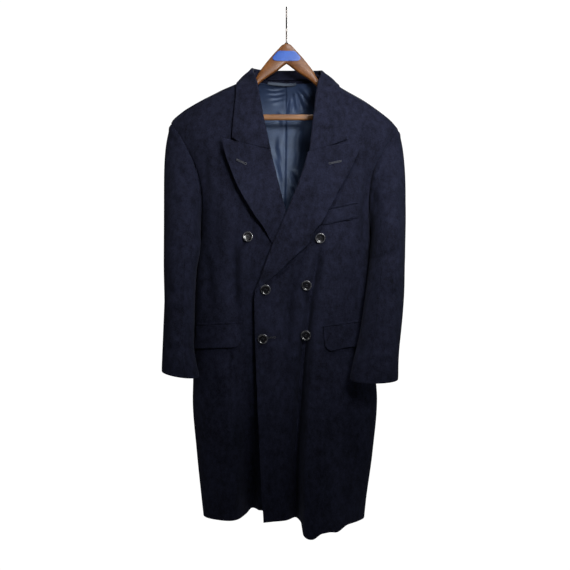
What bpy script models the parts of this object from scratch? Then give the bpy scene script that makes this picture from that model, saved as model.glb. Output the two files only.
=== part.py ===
"""Double-breasted wool overcoat hanging on a wooden hanger.

Sizes are in millimetres and are turned into metres when a mesh is made.
+X is the viewer's right, +Y goes away from the viewer, +Z is up; the origin is the inside top of the hanger's
hook.  "Left" and "right" in the names of the pieces are the wearer's, so the left front is on the viewer's right.
"""

import math

import bmesh
import bpy
import numpy as np
from mathutils import Matrix, Vector

MM = 0.001

# ---------------------------------------------------------------- driving sizes
CLOTH = 2.5             # wool wall
SATIN = 1.0             # lining and loop wall
SEAM = 0.3              # gap between two pieces at a seam
ROUND = 2.6             # power of the rings' superellipse: how square the coat hangs
SHOULDER_DROP = 130.0   # height over which the shoulder rounds from the ridge to full depth
LAY = 3.4               # height of a turned-out piece's face over the panel below it
LAY_UNDER = 5.6         # the same for the lapel that goes under the overlap
BLOOM = 7.0             # how far a lapel's free edge stands off the front
OVERLAP_DIP = 14.0      # how far the under front lies behind the over front
BUTTON_D = 25.0
WIRE = 3.6              # hook's wire
WOOD = 13.0             # hanger's thickness

# ---------------------------------------------------------------- short tables
# Rings of the body: height, half width on the viewer's left and right, depth of the front and of the back.
RINGS = dict(
    z=(-1300, -1230, -1105, -975, -930, -890, -850, -800, -730, -700, -650, -622, -600, -562, -525, -483, -457, -400,
       -350, -323, -290, -100),
    left=(203, 211, 224, 234, 233, 232.5, 232, 231, 228.5, 227, 223.5, 221, 218.5, 214, 215.5, 219, 224, 245,
          270, 284, 300, 300),
    right=(191, 198, 215, 226, 223, 218, 214, 211.5, 209.5, 209.5, 209, 209, 209, 208, 209, 213, 217, 238.5,
           263, 278, 296, 296),
    front=(86, 84, 82, 80, 80, 80, 80, 81, 82.4, 83, 84.1, 84.7, 85.2, 86, 86, 86, 85, 82, 80, 78, 76, 72),
    back=(88, 86, 83, 79, 78, 77, 76, 75.6, 75.1, 75, 75.4, 75.6, 75.8, 76, 76, 76, 76, 76, 75, 74, 72, 68),
)
# Shoulder ridge, seen from the front.
RIDGE = dict(
    x=(-300, -289, -284, -266, -254, -236, -211, -184, -159, -131, -88, -45, 0,
       45, 88, 124, 141, 164, 189, 226, 259, 272, 279, 290),
    z=(-298, -289, -281, -265, -256, -245, -231, -217.5, -205, -193, -174, -155, -138,
       -155, -174, -192, -203, -216, -230, -255, -281, -295, -304, -316),
)
# Free edge of each front: the front edge below the break, the roll line above it, the neck at the top.
OVER_EDGE = dict(
    z=(-1300, -1205, -1100, -1000, -900, -800, -730, -705, -688, -640, -584, -527, -470, -410, -357, -277, -198, -174),
    x=(-55, -58, -64, -69, -74, -77.5, -78.5, -76, -69, -52, -30, -6, 18, 40, 53, 64, 76, 88),
)
UNDER_EDGE = dict(
    z=(-1300, -900, -720, -688, -640, -584, -497, -418, -353, -277, -198, -174),
    x=(52, 58, 62, 59, 40, 18, -6, -25.5, -41, -56, -70, -88),
)
# Hems.
HEM_OVER = dict(x=(-60, -20, 20, 32, 45, 58, 75, 95, 120, 150, 175, 192),
                z=(-1266, -1264, -1264, -1272, -1288, -1292, -1286, -1279, -1280, -1274, -1271, -1270))
HEM_UNDER = dict(x=(-206, -120, -100, -86, -55, 0, 60),
                 z=(-1265, -1266, -1262, -1252, -1254, -1258, -1260))
HEM_BACK = dict(x=(-206, 0, 192), z=(-1265, -1266, -1270))
# Armhole seams from the shoulder point to the underarm, seen from the front.
ARMHOLE = {
    -1: dict(f=(0, 0.10, 0.21, 0.31, 0.41, 0.51, 0.63, 0.74, 0.88, 1.0),
             x=(-289, -264, -248, -235.5, -226, -218, -212, -210, -210.5, -214),
             z=(-289, -323, -351, -376, -400, -426, -458, -483, -525, -562)),
    1: dict(f=(0, 0.10, 0.21, 0.31, 0.41, 0.51, 0.63, 0.74, 0.88, 1.0),
            x=(279, 254, 240, 229, 219.5, 211.5, 207, 205, 204.5, 208),
            z=(-304, -339, -361, -382, -404, -427, -457, -485, -528, -566)),
}
# Largest folds: height, place, reach and depth.
RIGHT_STEP = dict(  # the skirt right of this line swings forward, its left flank is steep
    z=(-1300, -1205, -1118, -1009, -912, -792, -697, -627, -540),
    x=(27, 27, 29, 35, 42, 52, 64, 76, 93),
    reach=(24, 24, 25, 26, 28, 30, 32, 34, 36),
    depth=(47, 44, 37, 27, 18, 10, 7, 4, 0),
)
CENTRE_TROUGH = dict(  # soft trough down the overlap
    z=(-1080, -995, -730, -692, -600, -540),
    x=(-6, -6, 3, 13, 47, 70),
    reach=(16, 15, 14, 15, 16, 16),
    depth=(0, 5, 6.5, 7, 6, 0),
)
LEFT_TROUGH = dict(  # the under front falls back beside the over front's edge
    z=(-1300, -1265, -1180, -1091, -970, -838, -792, -671, -584, -540),
    x=(-86, -86, -89, -93, -100, -110, -117, -126, -134, -138),
    reach=(28, 28, 27, 26, 24, 22, 22, 22, 22, 22),
    depth=(92, 88, 70, 48, 24, 12, 9, 6, 3, 0),
)
BACK_FOLDS = dict(  # soft hanging folds of the back skirt: place, reach, depth at the hem
    x=(-150, -88, -34, 34, 92, 148),
    reach=(26, 24, 20, 20, 24, 26),
    depth=(9, -8, 8, 8, -8, 9),
)
BACK_FOLD_TOP = -760.0  # where the back's folds die out
# Lapels: share of the roll line, and the free edge from the peak to the break.
LAPEL_EDGE = {
    1: dict(t=(0, 0.08, 0.20, 0.32, 0.45, 0.58, 0.70, 0.80, 0.90, 0.97, 1.0),
            x=(181, 170, 148.5, 127, 105, 83, 48.5, 18, -16, -43, -60),
            z=(-347, -371, -414, -453, -497, -540, -584, -622, -658, -680, -689)),
    -1: dict(t=(0, 0.10, 0.21, 0.34, 0.46, 0.58, 0.69, 0.80, 0.90, 1.0),
             x=(-154, -147, -134, -112.5, -86.5, -60, -38.5, -8, 24, 50),
             z=(-339, -372, -410, -462, -505, -549, -586, -628, -660, -682)),
}
LAPEL_ROLL = {1: (-371.0, -697.0), -1: (-366.0, -690.0)}   # height of the roll line's ends
NOTCH = {1: (0.41, 3.6), -1: (0.65, -1.5)}                  # place across the lapel's top edge, rise there
# Collar fall from the wearer's right front, round the back, to the left front: fold line and free edge.
# side f: on the fronts, b: on the back, s: over the shoulder (depth is then given).
COLLAR = dict(
    side=("f", "f", "f", "f", "f", "s", "b", "b", "b", "b", "b", "b", "b", "s", "f", "f", "f", "f", "f"),
    fold_x=(-38, -45, -55, -64, -70.5, -81, -83, -73, -44, 0, 44, 74, 85, 84, 76, 70, 64, 58, 54),
    fold_y=(0, 0, 0, 0, 0, -18, 10, 36, 54, 60, 54, 36, 10, -18, 0, 0, 0, 0, 0),
    fold_z=(-364.9, -330, -283, -232, -196, -165, -152, -147, -144, -143, -144, -147, -152, -165, -196, -232, -283, -335, -369.9),
    edge_x=(-131, -129.5, -124, -120, -120, -124, -120, -100, -58, 0, 58, 103, 125, 129, 127, 128, 135, 142, 146.5),
    edge_z=(-337, -312, -268, -224, -197, -186, -204, -208, -211, -212, -211, -208, -206, -189, -200, -228, -280, -320, -340),
)
COLLAR_GORGE = {0: (0.81, -6.9), 1: (0.55, -2.6)}  # end line's bend at the notch: place across, drop
# Neck seam under the stand, from the wearer's right front round the back.
NECK = dict(
    side=("f", "f", "f", "b", "b", "b", "b", "b", "b", "b", "f", "f", "f"),
    x=(-71.5, -79, -86, -86, -68, -38, 0, 38, 68, 86, 86, 82.5, 77.5),
    z=(-195, -184, -176, -176, -175, -174, -173, -174, -175, -176, -176, -184, -195),
    height=(8, 14, 20, 22, 26, 29, 30, 29, 26, 22, 20, 14, 8),
)
# Sleeves: rings from below the armhole to the cuff.
SLEEVE = {
    -1: dict(z=(-622, -729, -836, -875, -907), x=(-259, -261.5, -262, -259, -255.5), y=(-42, -52, -67, -78, -86),
             across=(41, 38, 38, 41, 45), deep=(65, 63, 60, 57, 53)),
    1: dict(z=(-626, -715, -812, -873, -916), x=(247, 237, 224, 213, 207), y=(-47, -72, -99, -116, -124),
            across=(44, 47, 49, 53, 57), deep=(60, 56, 51, 47, 44)),
}
CUFF_TILT = {-1: 7.0, 1: 0.0}     # the cuff's edge drops toward the body (or away from it)
SEAM_FRONT, SEAM_BACK = 112.0, 225.0  # a sleeve's two seams, degrees round from the top by way of the front
# Hip pockets: inner end and its height, outer end and its height, at the top of the flap.
POCKET = {-1: dict(x0=-110, z0=-786.5, x1=-203, z1=-792), 1: dict(x0=88, z0=-795, x1=198, z1=-781)}
FLAP_H, FLAP_T, JET_H = 56.0, 2.6, 5.5
WELT = dict(x0=84, z0=-532, x1=171.5, z1=-512.5, high=31.5, thick=2.0)
BUTTONS = dict(
    name=("top_right", "top_left", "mid_right", "mid_left", "low_right", "low_left"),
    x=(-93.2, 81.6, -50.4, 48.5, -56.9, 47.5),
    z=(-576.5, -579.4, -703.4, -693.2, -822, -814),
    over=(0, 1, 1, 1, 1, 1),
)
# Hanger's upper edge outside the coat and its lower edge, half outlines.
HANGER_TOP = dict(x=(0, 9, 20, 38, 56, 66, 75, 82, 92), z=(-89, -92, -102.5, -122, -144, -157.5, -173, -184, -193))
HANGER_LOW = dict(x=(0, 8, 21, 38, 62, 90), z=(-139.5, -145, -155.5, -167, -184, -214))
HANGER_END, HANGER_LEG = 221.0, (150.0, 172.0)
BAR_Z, BAR_H = -273.5, 14.5
LOOP = dict(x0=-48, x1=24, z=-181.5, high=9)


# ---------------------------------------------------------------- small maths
def curve(table, column, key):
    """Smooth curve through a short table that never overshoots its rows."""
    xs = np.asarray(table[key], float)
    ys = np.asarray(table[column], float)
    order = np.argsort(xs)
    xs, ys = xs[order], ys[order]
    h = np.diff(xs)
    d = np.diff(ys) / h
    m = np.zeros_like(ys)
    m[0], m[-1] = d[0], d[-1]
    for i in range(1, len(xs) - 1):
        if d[i - 1] * d[i] > 0:
            w1, w2 = 2 * h[i] + h[i - 1], h[i] + 2 * h[i - 1]
            m[i] = (w1 + w2) / (w1 / d[i - 1] + w2 / d[i])

    def at(q):
        q = np.clip(np.asarray(q, float), xs[0], xs[-1])
        i = np.clip(np.searchsorted(xs, q, side="right") - 1, 0, len(h) - 1)
        t = (q - xs[i]) / h[i]
        return ((1 + 2 * t) * (1 - t) ** 2 * ys[i] + t * (1 - t) ** 2 * h[i] * m[i]
                + t * t * (3 - 2 * t) * ys[i + 1] + t * t * (t - 1) * h[i] * m[i + 1])
    return at


def ease(t):
    t = np.clip(t, 0.0, 1.0)
    return t * t * (3 - 2 * t)


def unit(v):
    return v / np.maximum(np.linalg.norm(v, axis=-1, keepdims=True), 1e-9)


W_LEFT, W_RIGHT = curve(RINGS, "left", "z"), curve(RINGS, "right", "z")
D_FRONT, D_BACK = curve(RINGS, "front", "z"), curve(RINGS, "back", "z")
RIDGE_Z = curve(RIDGE, "z", "x")
OVER_X, UNDER_X = curve(OVER_EDGE, "x", "z"), curve(UNDER_EDGE, "x", "z")
STEP = {c: curve(RIGHT_STEP, c, "z") for c in ("x", "reach", "depth")}
MIDT = {c: curve(CENTRE_TROUGH, c, "z") for c in ("x", "reach", "depth")}
LEFTT = {c: curve(LEFT_TROUGH, c, "z") for c in ("x", "reach", "depth")}


# ---------------------------------------------------------------- the coat's form
def half_width(x, z):
    return np.where(np.asarray(x) < 0, W_LEFT(z), W_RIGHT(z))


def ring_share(x, z):
    r = np.clip(np.abs(x) / half_width(x, z), 0, 1)
    drop = np.clip((RIDGE_Z(x) - z) / SHOULDER_DROP, 0, 1)
    return (1 - r ** ROUND) ** (1 / ROUND) * np.sqrt(np.clip(1 - (1 - drop) ** 2, 0, 1))


def over_folds(x, z):
    """How far the folds push the over front toward the viewer."""
    w = half_width(x, z)
    ahead = (x - STEP["x"](z)) / STEP["reach"](z)
    fade = ease((w - x) / (w - STEP["x"](z) - STEP["reach"](z)))
    step = STEP["depth"](z) * (ease(ahead) * np.where(x > 0, fade, 1) - 0.16 * np.exp(-((ahead + 0.25) / 0.6) ** 2))
    mid = MIDT["depth"](z) * np.exp(-((x - MIDT["x"](z)) / MIDT["reach"](z)) ** 2)
    return step - mid


def over_y(x, z):
    return -D_FRONT(z) * ring_share(x, z) - over_folds(x, z)


def under_y(x, z):
    """The under front: level with the over front away from it, behind it under the overlap."""
    edge = OVER_X(z)
    dip = OVERLAP_DIP * ease((x - (edge - 62)) / 62)
    t = (x - LEFTT["x"](z)) / LEFTT["reach"](z)
    shape = np.exp(-t * t)
    shape = np.where(t > 0, np.maximum(shape, 0.72 - 0.34 * ease((x - LEFTT["x"](z)) / 120)), shape)
    w = half_width(x, z)
    side = ease((w - np.abs(x)) / 60)
    return over_y(x, z) + dip + LEFTT["depth"](z) * shape * np.where(x < 0, side, 1)


def back_y(x, z):
    low = ease((BACK_FOLD_TOP - z) / (BACK_FOLD_TOP + 1266))
    folds = sum(d * np.exp(-((x - c) / r) ** 2) for c, r, d in zip(*(BACK_FOLDS[k] for k in ("x", "reach", "depth"))))
    side = ease((half_width(x, z) - np.abs(x)) / 50)
    return D_BACK(z) * ring_share(x, z) + folds * low * side


def lifted(surface, x, z, off, sign=-1):
    """Points of a panel moved out along its normal (sign -1: a front, +1: the back)."""
    e = 0.5
    gx = (surface(x + e, z) - surface(x - e, z)) / (2 * e)
    gz = (surface(x, z + e) - surface(x, z - e)) / (2 * e)
    n = unit(np.stack([-sign * gx, sign * np.ones_like(gx), -sign * gz], -1))
    return np.stack([x, surface(x, z), z], -1) + np.asarray(off)[..., None] * n, n


def armhole(side, f, front):
    t = ARMHOLE[side]
    x, z = curve(t, "x", "f")(f), curve(t, "z", "f")(f)
    y = (over_y(x, z) if side > 0 else under_y(x, z)) if front else back_y(x, z)
    return np.stack([x, y, z], -1)


def armhole_normal(side, f, front):
    """Direction in which the cut edges of body and sleeve face, shared by both."""
    s = -1.0 if front else 1.0
    a = np.clip(np.asarray(f, float) / 0.72, 0, 1) * math.pi / 2
    return unit(np.stack([side * (0.45 - 0.1 * np.sin(a)), s * 0.93 * np.sin(a), 0.85 * np.cos(a) + 0.1], -1))


# ---------------------------------------------------------------- meshes
def material(name, colour, rough, metal=0.0):
    m = bpy.data.materials.new(name)
    m.use_nodes = True
    b = m.node_tree.nodes["Principled BSDF"]
    b.inputs["Base Color"].default_value = (*colour, 1)
    b.inputs["Roughness"].default_value = rough
    b.inputs["Metallic"].default_value = metal
    return m


def link(name, bm, mat, smooth=True):
    mesh = bpy.data.meshes.new(name)
    bmesh.ops.recalc_face_normals(bm, faces=bm.faces)
    if smooth:
        for f in bm.faces:
            f.smooth = True
    bm.to_mesh(mesh)
    bm.free()
    obj = bpy.data.objects.new(name, mesh)
    obj.data.materials.append(mat)
    bpy.context.scene.collection.objects.link(obj)
    return obj


def grid_normals(p, toward):
    """Normals of a grid of points, turned so that on the whole they face `toward`."""
    n = unit(np.cross(np.gradient(p, axis=0), np.gradient(p, axis=1)))
    return n if np.sum(n * toward) > 0 else -n


def wall(name, outer, normals, thick, mat):
    """Closed wall of one cut piece: its outer face, the inner face set back by `thick`, and the cut edges."""
    inner = outer - thick * normals
    rows, cols = outer.shape[:2]
    bm = bmesh.new()
    faces = []
    for grid in (outer, inner):
        faces.append([[bm.verts.new(Vector(q) * MM) for q in row] for row in grid])
    top, low = faces
    for i in range(rows - 1):
        for j in range(cols - 1):
            bm.faces.new((top[i][j], top[i][j + 1], top[i + 1][j + 1], top[i + 1][j]))
            bm.faces.new((low[i][j], low[i + 1][j], low[i + 1][j + 1], low[i][j + 1]))
    ring = ([(0, j) for j in range(cols)] + [(i, cols - 1) for i in range(1, rows)]
            + [(rows - 1, j) for j in range(cols - 2, -1, -1)] + [(i, 0) for i in range(rows - 2, 0, -1)])
    for (a, b), (c, d) in zip(ring, ring[1:] + ring[:1]):
        bm.faces.new((top[a][b], low[a][b], low[c][d], top[c][d]))
    bmesh.ops.triangulate(bm, faces=bm.faces, quad_method="FIXED")   # both faces split along the same diagonal
    return link(name, bm, mat)


# ---------------------------------------------------------------- fronts and back
SIDE_ROWS = (0.0, 0.075, 0.165, 0.265, 0.365, 0.465, 0.565, 0.665, 0.76, 0.845, 0.925)   # share of the side seam
ARM_ROWS = (1.0, 0.88, 0.75, 0.62, 0.49, 0.36, 0.24, 0.13, 0.05, 0.0)                     # share of the armhole
FRONT_ROWS = (-1266, -1215, -1150, -1080, -1010, -940, -870, -800, -748, -706, -660,
              -610, -560, -510, -460, -410, -358, -305, -252, -205, -174)
BACK_ROWS = (-1266, -1215, -1150, -1080, -1010, -940, -870, -800, -730, -670, -610,
             -560, -515, -470, -425, -380, -335, -290, -250, -210, -174)


def panel(side, front, surface, centre_x, centre_z, hem, guides, parts, neck=None):
    """Grid of a body panel, rows from the hem to the shoulder, columns from its free edge to its side.

    guides: lines (x for a height) that columns follow; parts: into how many columns each space between is cut."""
    under = ARMHOLE[side]["z"][-1]
    hem_side = float(curve(hem, "z", "x")(side * 300))
    ends = [(None, hem_side + (under - hem_side) * s) for s in SIDE_ROWS] + [(f, None) for f in ARM_ROWS]
    hem_z = curve(hem, "z", "x")
    rows = []
    for i, (f, z_side) in enumerate(ends):
        zc = centre_z[i]
        xc = float(centre_x(zc))
        if f is None:
            x_end, z_end = None, z_side
        else:
            x_end = float(curve(ARMHOLE[side], "x", "f")(f))
            z_end = float(curve(ARMHOLE[side], "z", "f")(f))
        w_end = float(half_width(side, z_end))
        r_end = side if x_end is None else x_end / w_end
        r_start = xc / float(half_width(xc, zc))
        t = np.linspace(0, 1, 500)
        r = r_start + (r_end - r_start) * (1 - (1 - t) ** ROUND)
        z0 = zc + (z_end - zc) * t
        x0 = r * half_width(r, z0)
        y0 = -D_FRONT(z0) * ring_share(x0, z0)
        length = np.concatenate([[0], np.cumsum(np.hypot(np.diff(x0), np.diff(y0)))])
        share = length / length[-1]
        marks = [0.0] + [float(np.interp(side * g(zc), side * x0, share)) for g in guides] + [1.0]
        for k in range(1, len(marks) - 1):           # guide lines keep their order and a least distance
            marks[k] = min(max(marks[k], marks[k - 1] + 0.05), 1 - 0.05 * (len(marks) - 1 - k) - 0.12)
        us = np.concatenate([np.linspace(marks[k], marks[k + 1], parts[k], endpoint=False)
                             for k in range(len(parts))] + [[1.0]])
        r = np.interp(us, share, r)
        z = zc + (z_end - zc) * us
        x = r * half_width(r, z)
        top = ease((i - 10) / (len(ends) - 11.0)) if i > 10 else 0.0
        if top:
            # near the top, rows follow the shoulder ridge and the neck
            xs, xn = float(ARMHOLE[side]["x"][0]), float(centre_x(centre_z[-1]))
            line = np.interp(side * x, sorted((side * xn, side * xs)),
                             [float(RIDGE_Z(v)) for v in sorted((xn, xs), key=lambda v: side * v)])
            z = z + top * (RIDGE_Z(x) - line)
        if x_end is not None:
            pull = us ** 12 * (1 - ease((f - 0.36) / 0.26))    # the row still ends on the armhole
            x = x + (x_end - x[-1]) * pull
            z = z + (z_end - z[-1]) * pull
        if i < 5:
            z = z + (1 - i / 5.0) * (hem_z(x) - (zc + (z_end - zc) * us))
            x = r * half_width(r, z)
        if i == len(ends) - 1 and neck is None:
            z = RIDGE_Z(x)
        rows.append(np.stack([x, surface(x, z), z], -1))
    p = np.array(rows)
    n = grid_normals(p, np.array([0, -1.0 if front else 1.0, 0]))
    first_arm = len(SIDE_ROWS)
    n[:first_arm + 1, -1, 1] = 0                     # side seam: the cut edge faces straight across
    n[:first_arm + 1, -1, 2] *= 0.2
    p[:first_arm + 1, -1, 1] = (-0.5 if front else 0.5) * SEAM
    for k, f in enumerate(ARM_ROWS):
        if f < 0.75:
            n[first_arm + k, -1] = armhole_normal(side, f, front)
    ridge = RIDGE_Z(p[-1, :, 0]) - p[-1, :, 2] < 0.01
    n[-1, ridge, 1] = 0                              # shoulder seam
    p[-1, ridge, 1] = (-0.5 if front else 0.5) * SEAM
    return p, unit(n)


def make_front_left(mat):
    # columns run along the main fold's foot and crest, and spread evenly above it
    blend = lambda z: ease((z + 760) / 160)
    even = lambda z, k: OVER_X(z) + (W_RIGHT(z) - OVER_X(z)) * k
    foot = lambda z: STEP["x"](z) * (1 - blend(z)) + even(z, 0.40) * blend(z)
    crest = lambda z: (STEP["x"](z) + STEP["reach"](z) * 1.05) * (1 - blend(z)) + even(z, 0.54) * blend(z)
    p, n = panel(1, True, over_y, OVER_X, FRONT_ROWS, HEM_OVER, [foot, crest], [4, 3, 6])
    return wall("front_left", p, n, CLOTH, mat)


def make_front_right(mat):
    blend = lambda z: ease((z + 760) / 160)
    even = lambda z, k: UNDER_X(z) - (W_LEFT(z) + UNDER_X(z)) * k
    near = lambda z: (LEFTT["x"](z) + 34) * (1 - blend(z)) + even(z, 0.30) * blend(z)
    foot = lambda z: LEFTT["x"](z) * (1 - blend(z)) + even(z, 0.42) * blend(z)
    far = lambda z: (LEFTT["x"](z) - 42) * (1 - blend(z)) + even(z, 0.58) * blend(z)
    p, n = panel(-1, True, under_y, UNDER_X, FRONT_ROWS, HEM_UNDER, [near, foot, far], [3, 3, 3, 5])
    return wall("front_right", p, n, CLOTH, mat)


NECK_X = 88.0


def make_back(side, name, mat):
    under = ARMHOLE[side]["z"][-1]
    cols = np.array([0, 0.11, 0.22, 0.33, 0.44, 0.55, 0.66, 0.76, 0.85, 0.93, 1.0])
    gap = 0.5 * SEAM * side
    p, n = panel(side, False, back_y, lambda z: gap + 0 * np.asarray(z, float), BACK_ROWS, HEM_BACK, [], [len(cols) - 1],
                 neck=NECK_X)
    # the top row goes along the shoulder seam to the neck, then round the back neck to the centre
    rows = p.shape[0]
    shoulder_x = ARMHOLE[side]["x"][0]
    xs = np.interp(cols, [0, 0.33, 1.0], [gap, side * NECK_X, shoulder_x])
    z_top = np.where(np.abs(xs) <= NECK_X, -173.0 - 3.0 * (np.abs(xs) / NECK_X) ** 2, RIDGE_Z(xs))
    z_top = np.where(np.abs(np.abs(xs) - NECK_X) < 1e-6, RIDGE_Z(xs), z_top)
    low = 11
    for i in range(low, rows):
        s = (i - low + 1) / (rows - low)
        x = p[low - 1, :, 0] + (xs - p[low - 1, :, 0]) * s
        z = p[low - 1, :, 2] + (z_top - p[low - 1, :, 2]) * s
        f = ARM_ROWS[i - low]
        a = armhole(side, np.array(f), False)
        # the armhole pulls its end of the row, fading toward the centre
        pull = cols ** 3
        x = x + (a[0] - x[-1]) * pull
        z = z + (a[2] - z[-1]) * pull
        if i < rows - 1:
            z = np.minimum(z, RIDGE_Z(x) - 1.5 - 10 * (1 - s))
        p[i] = np.stack([x, back_y(x, z), z], -1)
    n = grid_normals(p, np.array([0, 1.0, 0]))
    n[:low + 1, -1, 1] = 0
    n[:low + 1, -1, 2] *= 0.2
    p[:low + 1, -1, 1] = 0.5 * SEAM
    for k, f in enumerate(ARM_ROWS):
        if f < 0.75:
            n[low + k, -1] = armhole_normal(side, f, False)
    n[:, 0, 0] = 0                                   # centre-back seam
    seam = np.abs(xs) >= NECK_X - 1e-6
    n[-1, seam, 1] = 0                               # shoulder seam
    p[-1, seam, 1] = 0.5 * SEAM
    return wall(name, p, unit(n), CLOTH, mat)


# ---------------------------------------------------------------- lapels and collar
def lapel_grid(side, t, w):
    """Lapel from the roll line (w 0) to the free edge (w 1), from the gorge (t 0) to the break (t 1)."""
    t, w = np.meshgrid(t, w, indexing="ij")
    z_roll = LAPEL_ROLL[side][0] + (LAPEL_ROLL[side][1] - LAPEL_ROLL[side][0]) * t
    x_roll = (OVER_X if side > 0 else UNDER_X)(z_roll) + side * 0.6
    ex, ez = curve(LAPEL_EDGE[side], "x", "t")(t), curve(LAPEL_EDGE[side], "z", "t")(t)
    x, z = x_roll + (ex - x_roll) * w, z_roll + (ez - z_roll) * w
    place, rise = NOTCH[side]
    bend = np.minimum(w / place, (1 - w) / (1 - place))
    z = z + rise * bend * np.clip(1 - t / 0.12, 0, 1)
    bloom = BLOOM * w ** 2 * ease((1 - t) / 0.45)
    if side < 0:
        bloom = bloom * np.clip((OVER_X(z) - x - 8) / 60, 0, 1)
    lay = LAY if side > 0 else LAY_UNDER + 3.2 * np.clip((x - OVER_X(z)) / 30, 0, 1)
    return lifted(over_y if side > 0 else under_y, x, z, lay + bloom)


def make_lapel(side, name, mat):
    t = np.array([0, 0.05, 0.11, 0.18, 0.26, 0.34, 0.42, 0.50, 0.58, 0.66, 0.74, 0.82, 0.90, 1.0])
    w = np.array([0, 0.12, 0.26, 0.41, 0.65, 0.84, 1.0])
    p, n = lapel_grid(side, t, w)
    return wall(name, p, n, CLOTH, mat)


def collar_lines(count):
    """Fold line and free edge of the collar fall, sampled round the neck."""
    k = np.arange(len(COLLAR["side"]), dtype=float)
    table = dict(k=k)
    fold, edge = [], []
    for i, s in enumerate(COLLAR["side"]):
        fx, fz, ex, ez = (np.array(float(COLLAR[c][i])) for c in ("fold_x", "fold_z", "edge_x", "edge_z"))
        face = over_y if fx > 0 else under_y
        fy = face(fx, fz) if s == "f" else np.array(float(COLLAR["fold_y"][i]))
        if s == "f":
            e = lifted(face, ex, ez, np.array(LAY + 1.0))[0]
        elif s == "b":
            e = lifted(back_y, ex, ez, np.array(LAY + 1.4), 1)[0]
        else:
            e = np.array([ex, 1.0, RIDGE_Z(ex) + LAY + 1.2])
        fold.append(np.array([fx, fy, fz], float))
        edge.append(e)
    q = np.linspace(0, len(k) - 1, count)
    out = []
    for pts in (np.array(fold), np.array(edge)):
        out.append(np.stack([curve(dict(k=k, v=pts[:, c]), "v", "k")(q) for c in range(3)], -1))
    return out[0], out[1], q


def outward(fold):
    """Direction away from the neck's axis at each point of the fold line, level."""
    tangent = np.gradient(fold, axis=0)
    n = np.stack([tangent[:, 1], -tangent[:, 0], np.zeros(len(fold))], -1)
    n = unit(n)
    centre = np.array([0.0, 5.0, 0.0])
    flip = np.sum(n * (fold - centre) * np.array([1, 1, 0]), -1) < 0
    n[flip] *= -1
    return n


def make_collar_fall(mat):
    count = 37
    fold, edge, q = collar_lines(count)
    last = len(COLLAR["side"]) - 1
    w = np.array([0, 0.14, 0.34, 0.55, 0.81, 1.0])
    rows = []
    for i in range(count):
        side_mark = COLLAR["side"][int(round(q[i]))]
        x_sign = 1 if q[i] > last / 2 else -1
        on_front = q[i] <= 4.001 or q[i] >= last - 4.001
        start = fold[i]
        row = start + (edge[i] - start) * w[:, None]
        end = 0 if q[i] < last / 2 else 1
        dist = q[i] if end == 0 else last - q[i]
        place, drop = COLLAR_GORGE[end]
        bend = np.minimum(w / place, (1 - w) / (1 - place)) * drop * max(0.0, 1 - dist / 0.9)
        row[:, 2] += bend
        if on_front:
            face = over_y if x_sign > 0 else under_y
            off = (LAY if x_sign > 0 else LAY_UNDER) + BLOOM * 0.3 * w ** 2
            row = lifted(face, row[:, 0], row[:, 2], off)[0]
        rows.append(row)
    p = np.array(rows)
    out = outward(fold)
    back = np.clip((np.minimum(q, last - q) - 4.0) / 1.0, 0, 1)
    p = p + (out * 3.4 * back[:, None])[:, None, :] * (1 - w)[None, :, None]
    # the fall arches a little between fold and edge
    arch = np.sin(math.pi * w)[None, :, None] * 4.0 * back[:, None, None]
    p = p + arch * (out[:, None, :] * 0.6 + np.array([0, 0, 0.8]))
    n = grid_normals(p, out[:, None, :])
    return wall("collar_fall", p, n, CLOTH, mat)


def make_collar_stand(mat):
    """Band from the neck seam up to the fold line, inside the fall."""
    k = np.arange(len(NECK["side"]), dtype=float)
    low = []
    for i, s in enumerate(NECK["side"]):
        x, z = np.array(float(NECK["x"][i])), np.array(float(NECK["z"][i]))
        y = (over_y if x > 0 else under_y)(x, z) if s == "f" else back_y(x, z)
        if abs(float(x)) > 85:
            y = np.array(-5.0 if s == "f" else 5.0)
        low.append((float(x), float(y), float(z)))
    low = np.array(low)
    q = np.linspace(1.5, len(k) - 2.5, 23)
    low = np.stack([curve(dict(k=k, v=low[:, c]), "v", "k")(q) for c in range(3)], -1)
    fold, _, fq = collar_lines(181)
    fold = fold[(fq >= 4.3) & (fq <= len(COLLAR["side"]) - 5.3)]
    bearing = lambda p: np.arctan2(p[:, 0], p[:, 1] + 25)      # round the neck, back to front
    order = np.argsort(bearing(fold))
    top = np.stack([np.interp(bearing(low), bearing(fold)[order], fold[order, c]) for c in range(3)], -1)
    out = outward(top)
    low = low - out * 2.6 + np.array([0, 0, 4.0])
    top = top - out * 1.2 - np.array([0, 0, 0.5])
    p = np.array([low + (top - low) * h for h in (0.0, 0.5, 1.0)])
    n = np.broadcast_to(out, p.shape).copy()
    return wall("collar_stand", p, n, CLOTH, mat)


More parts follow.
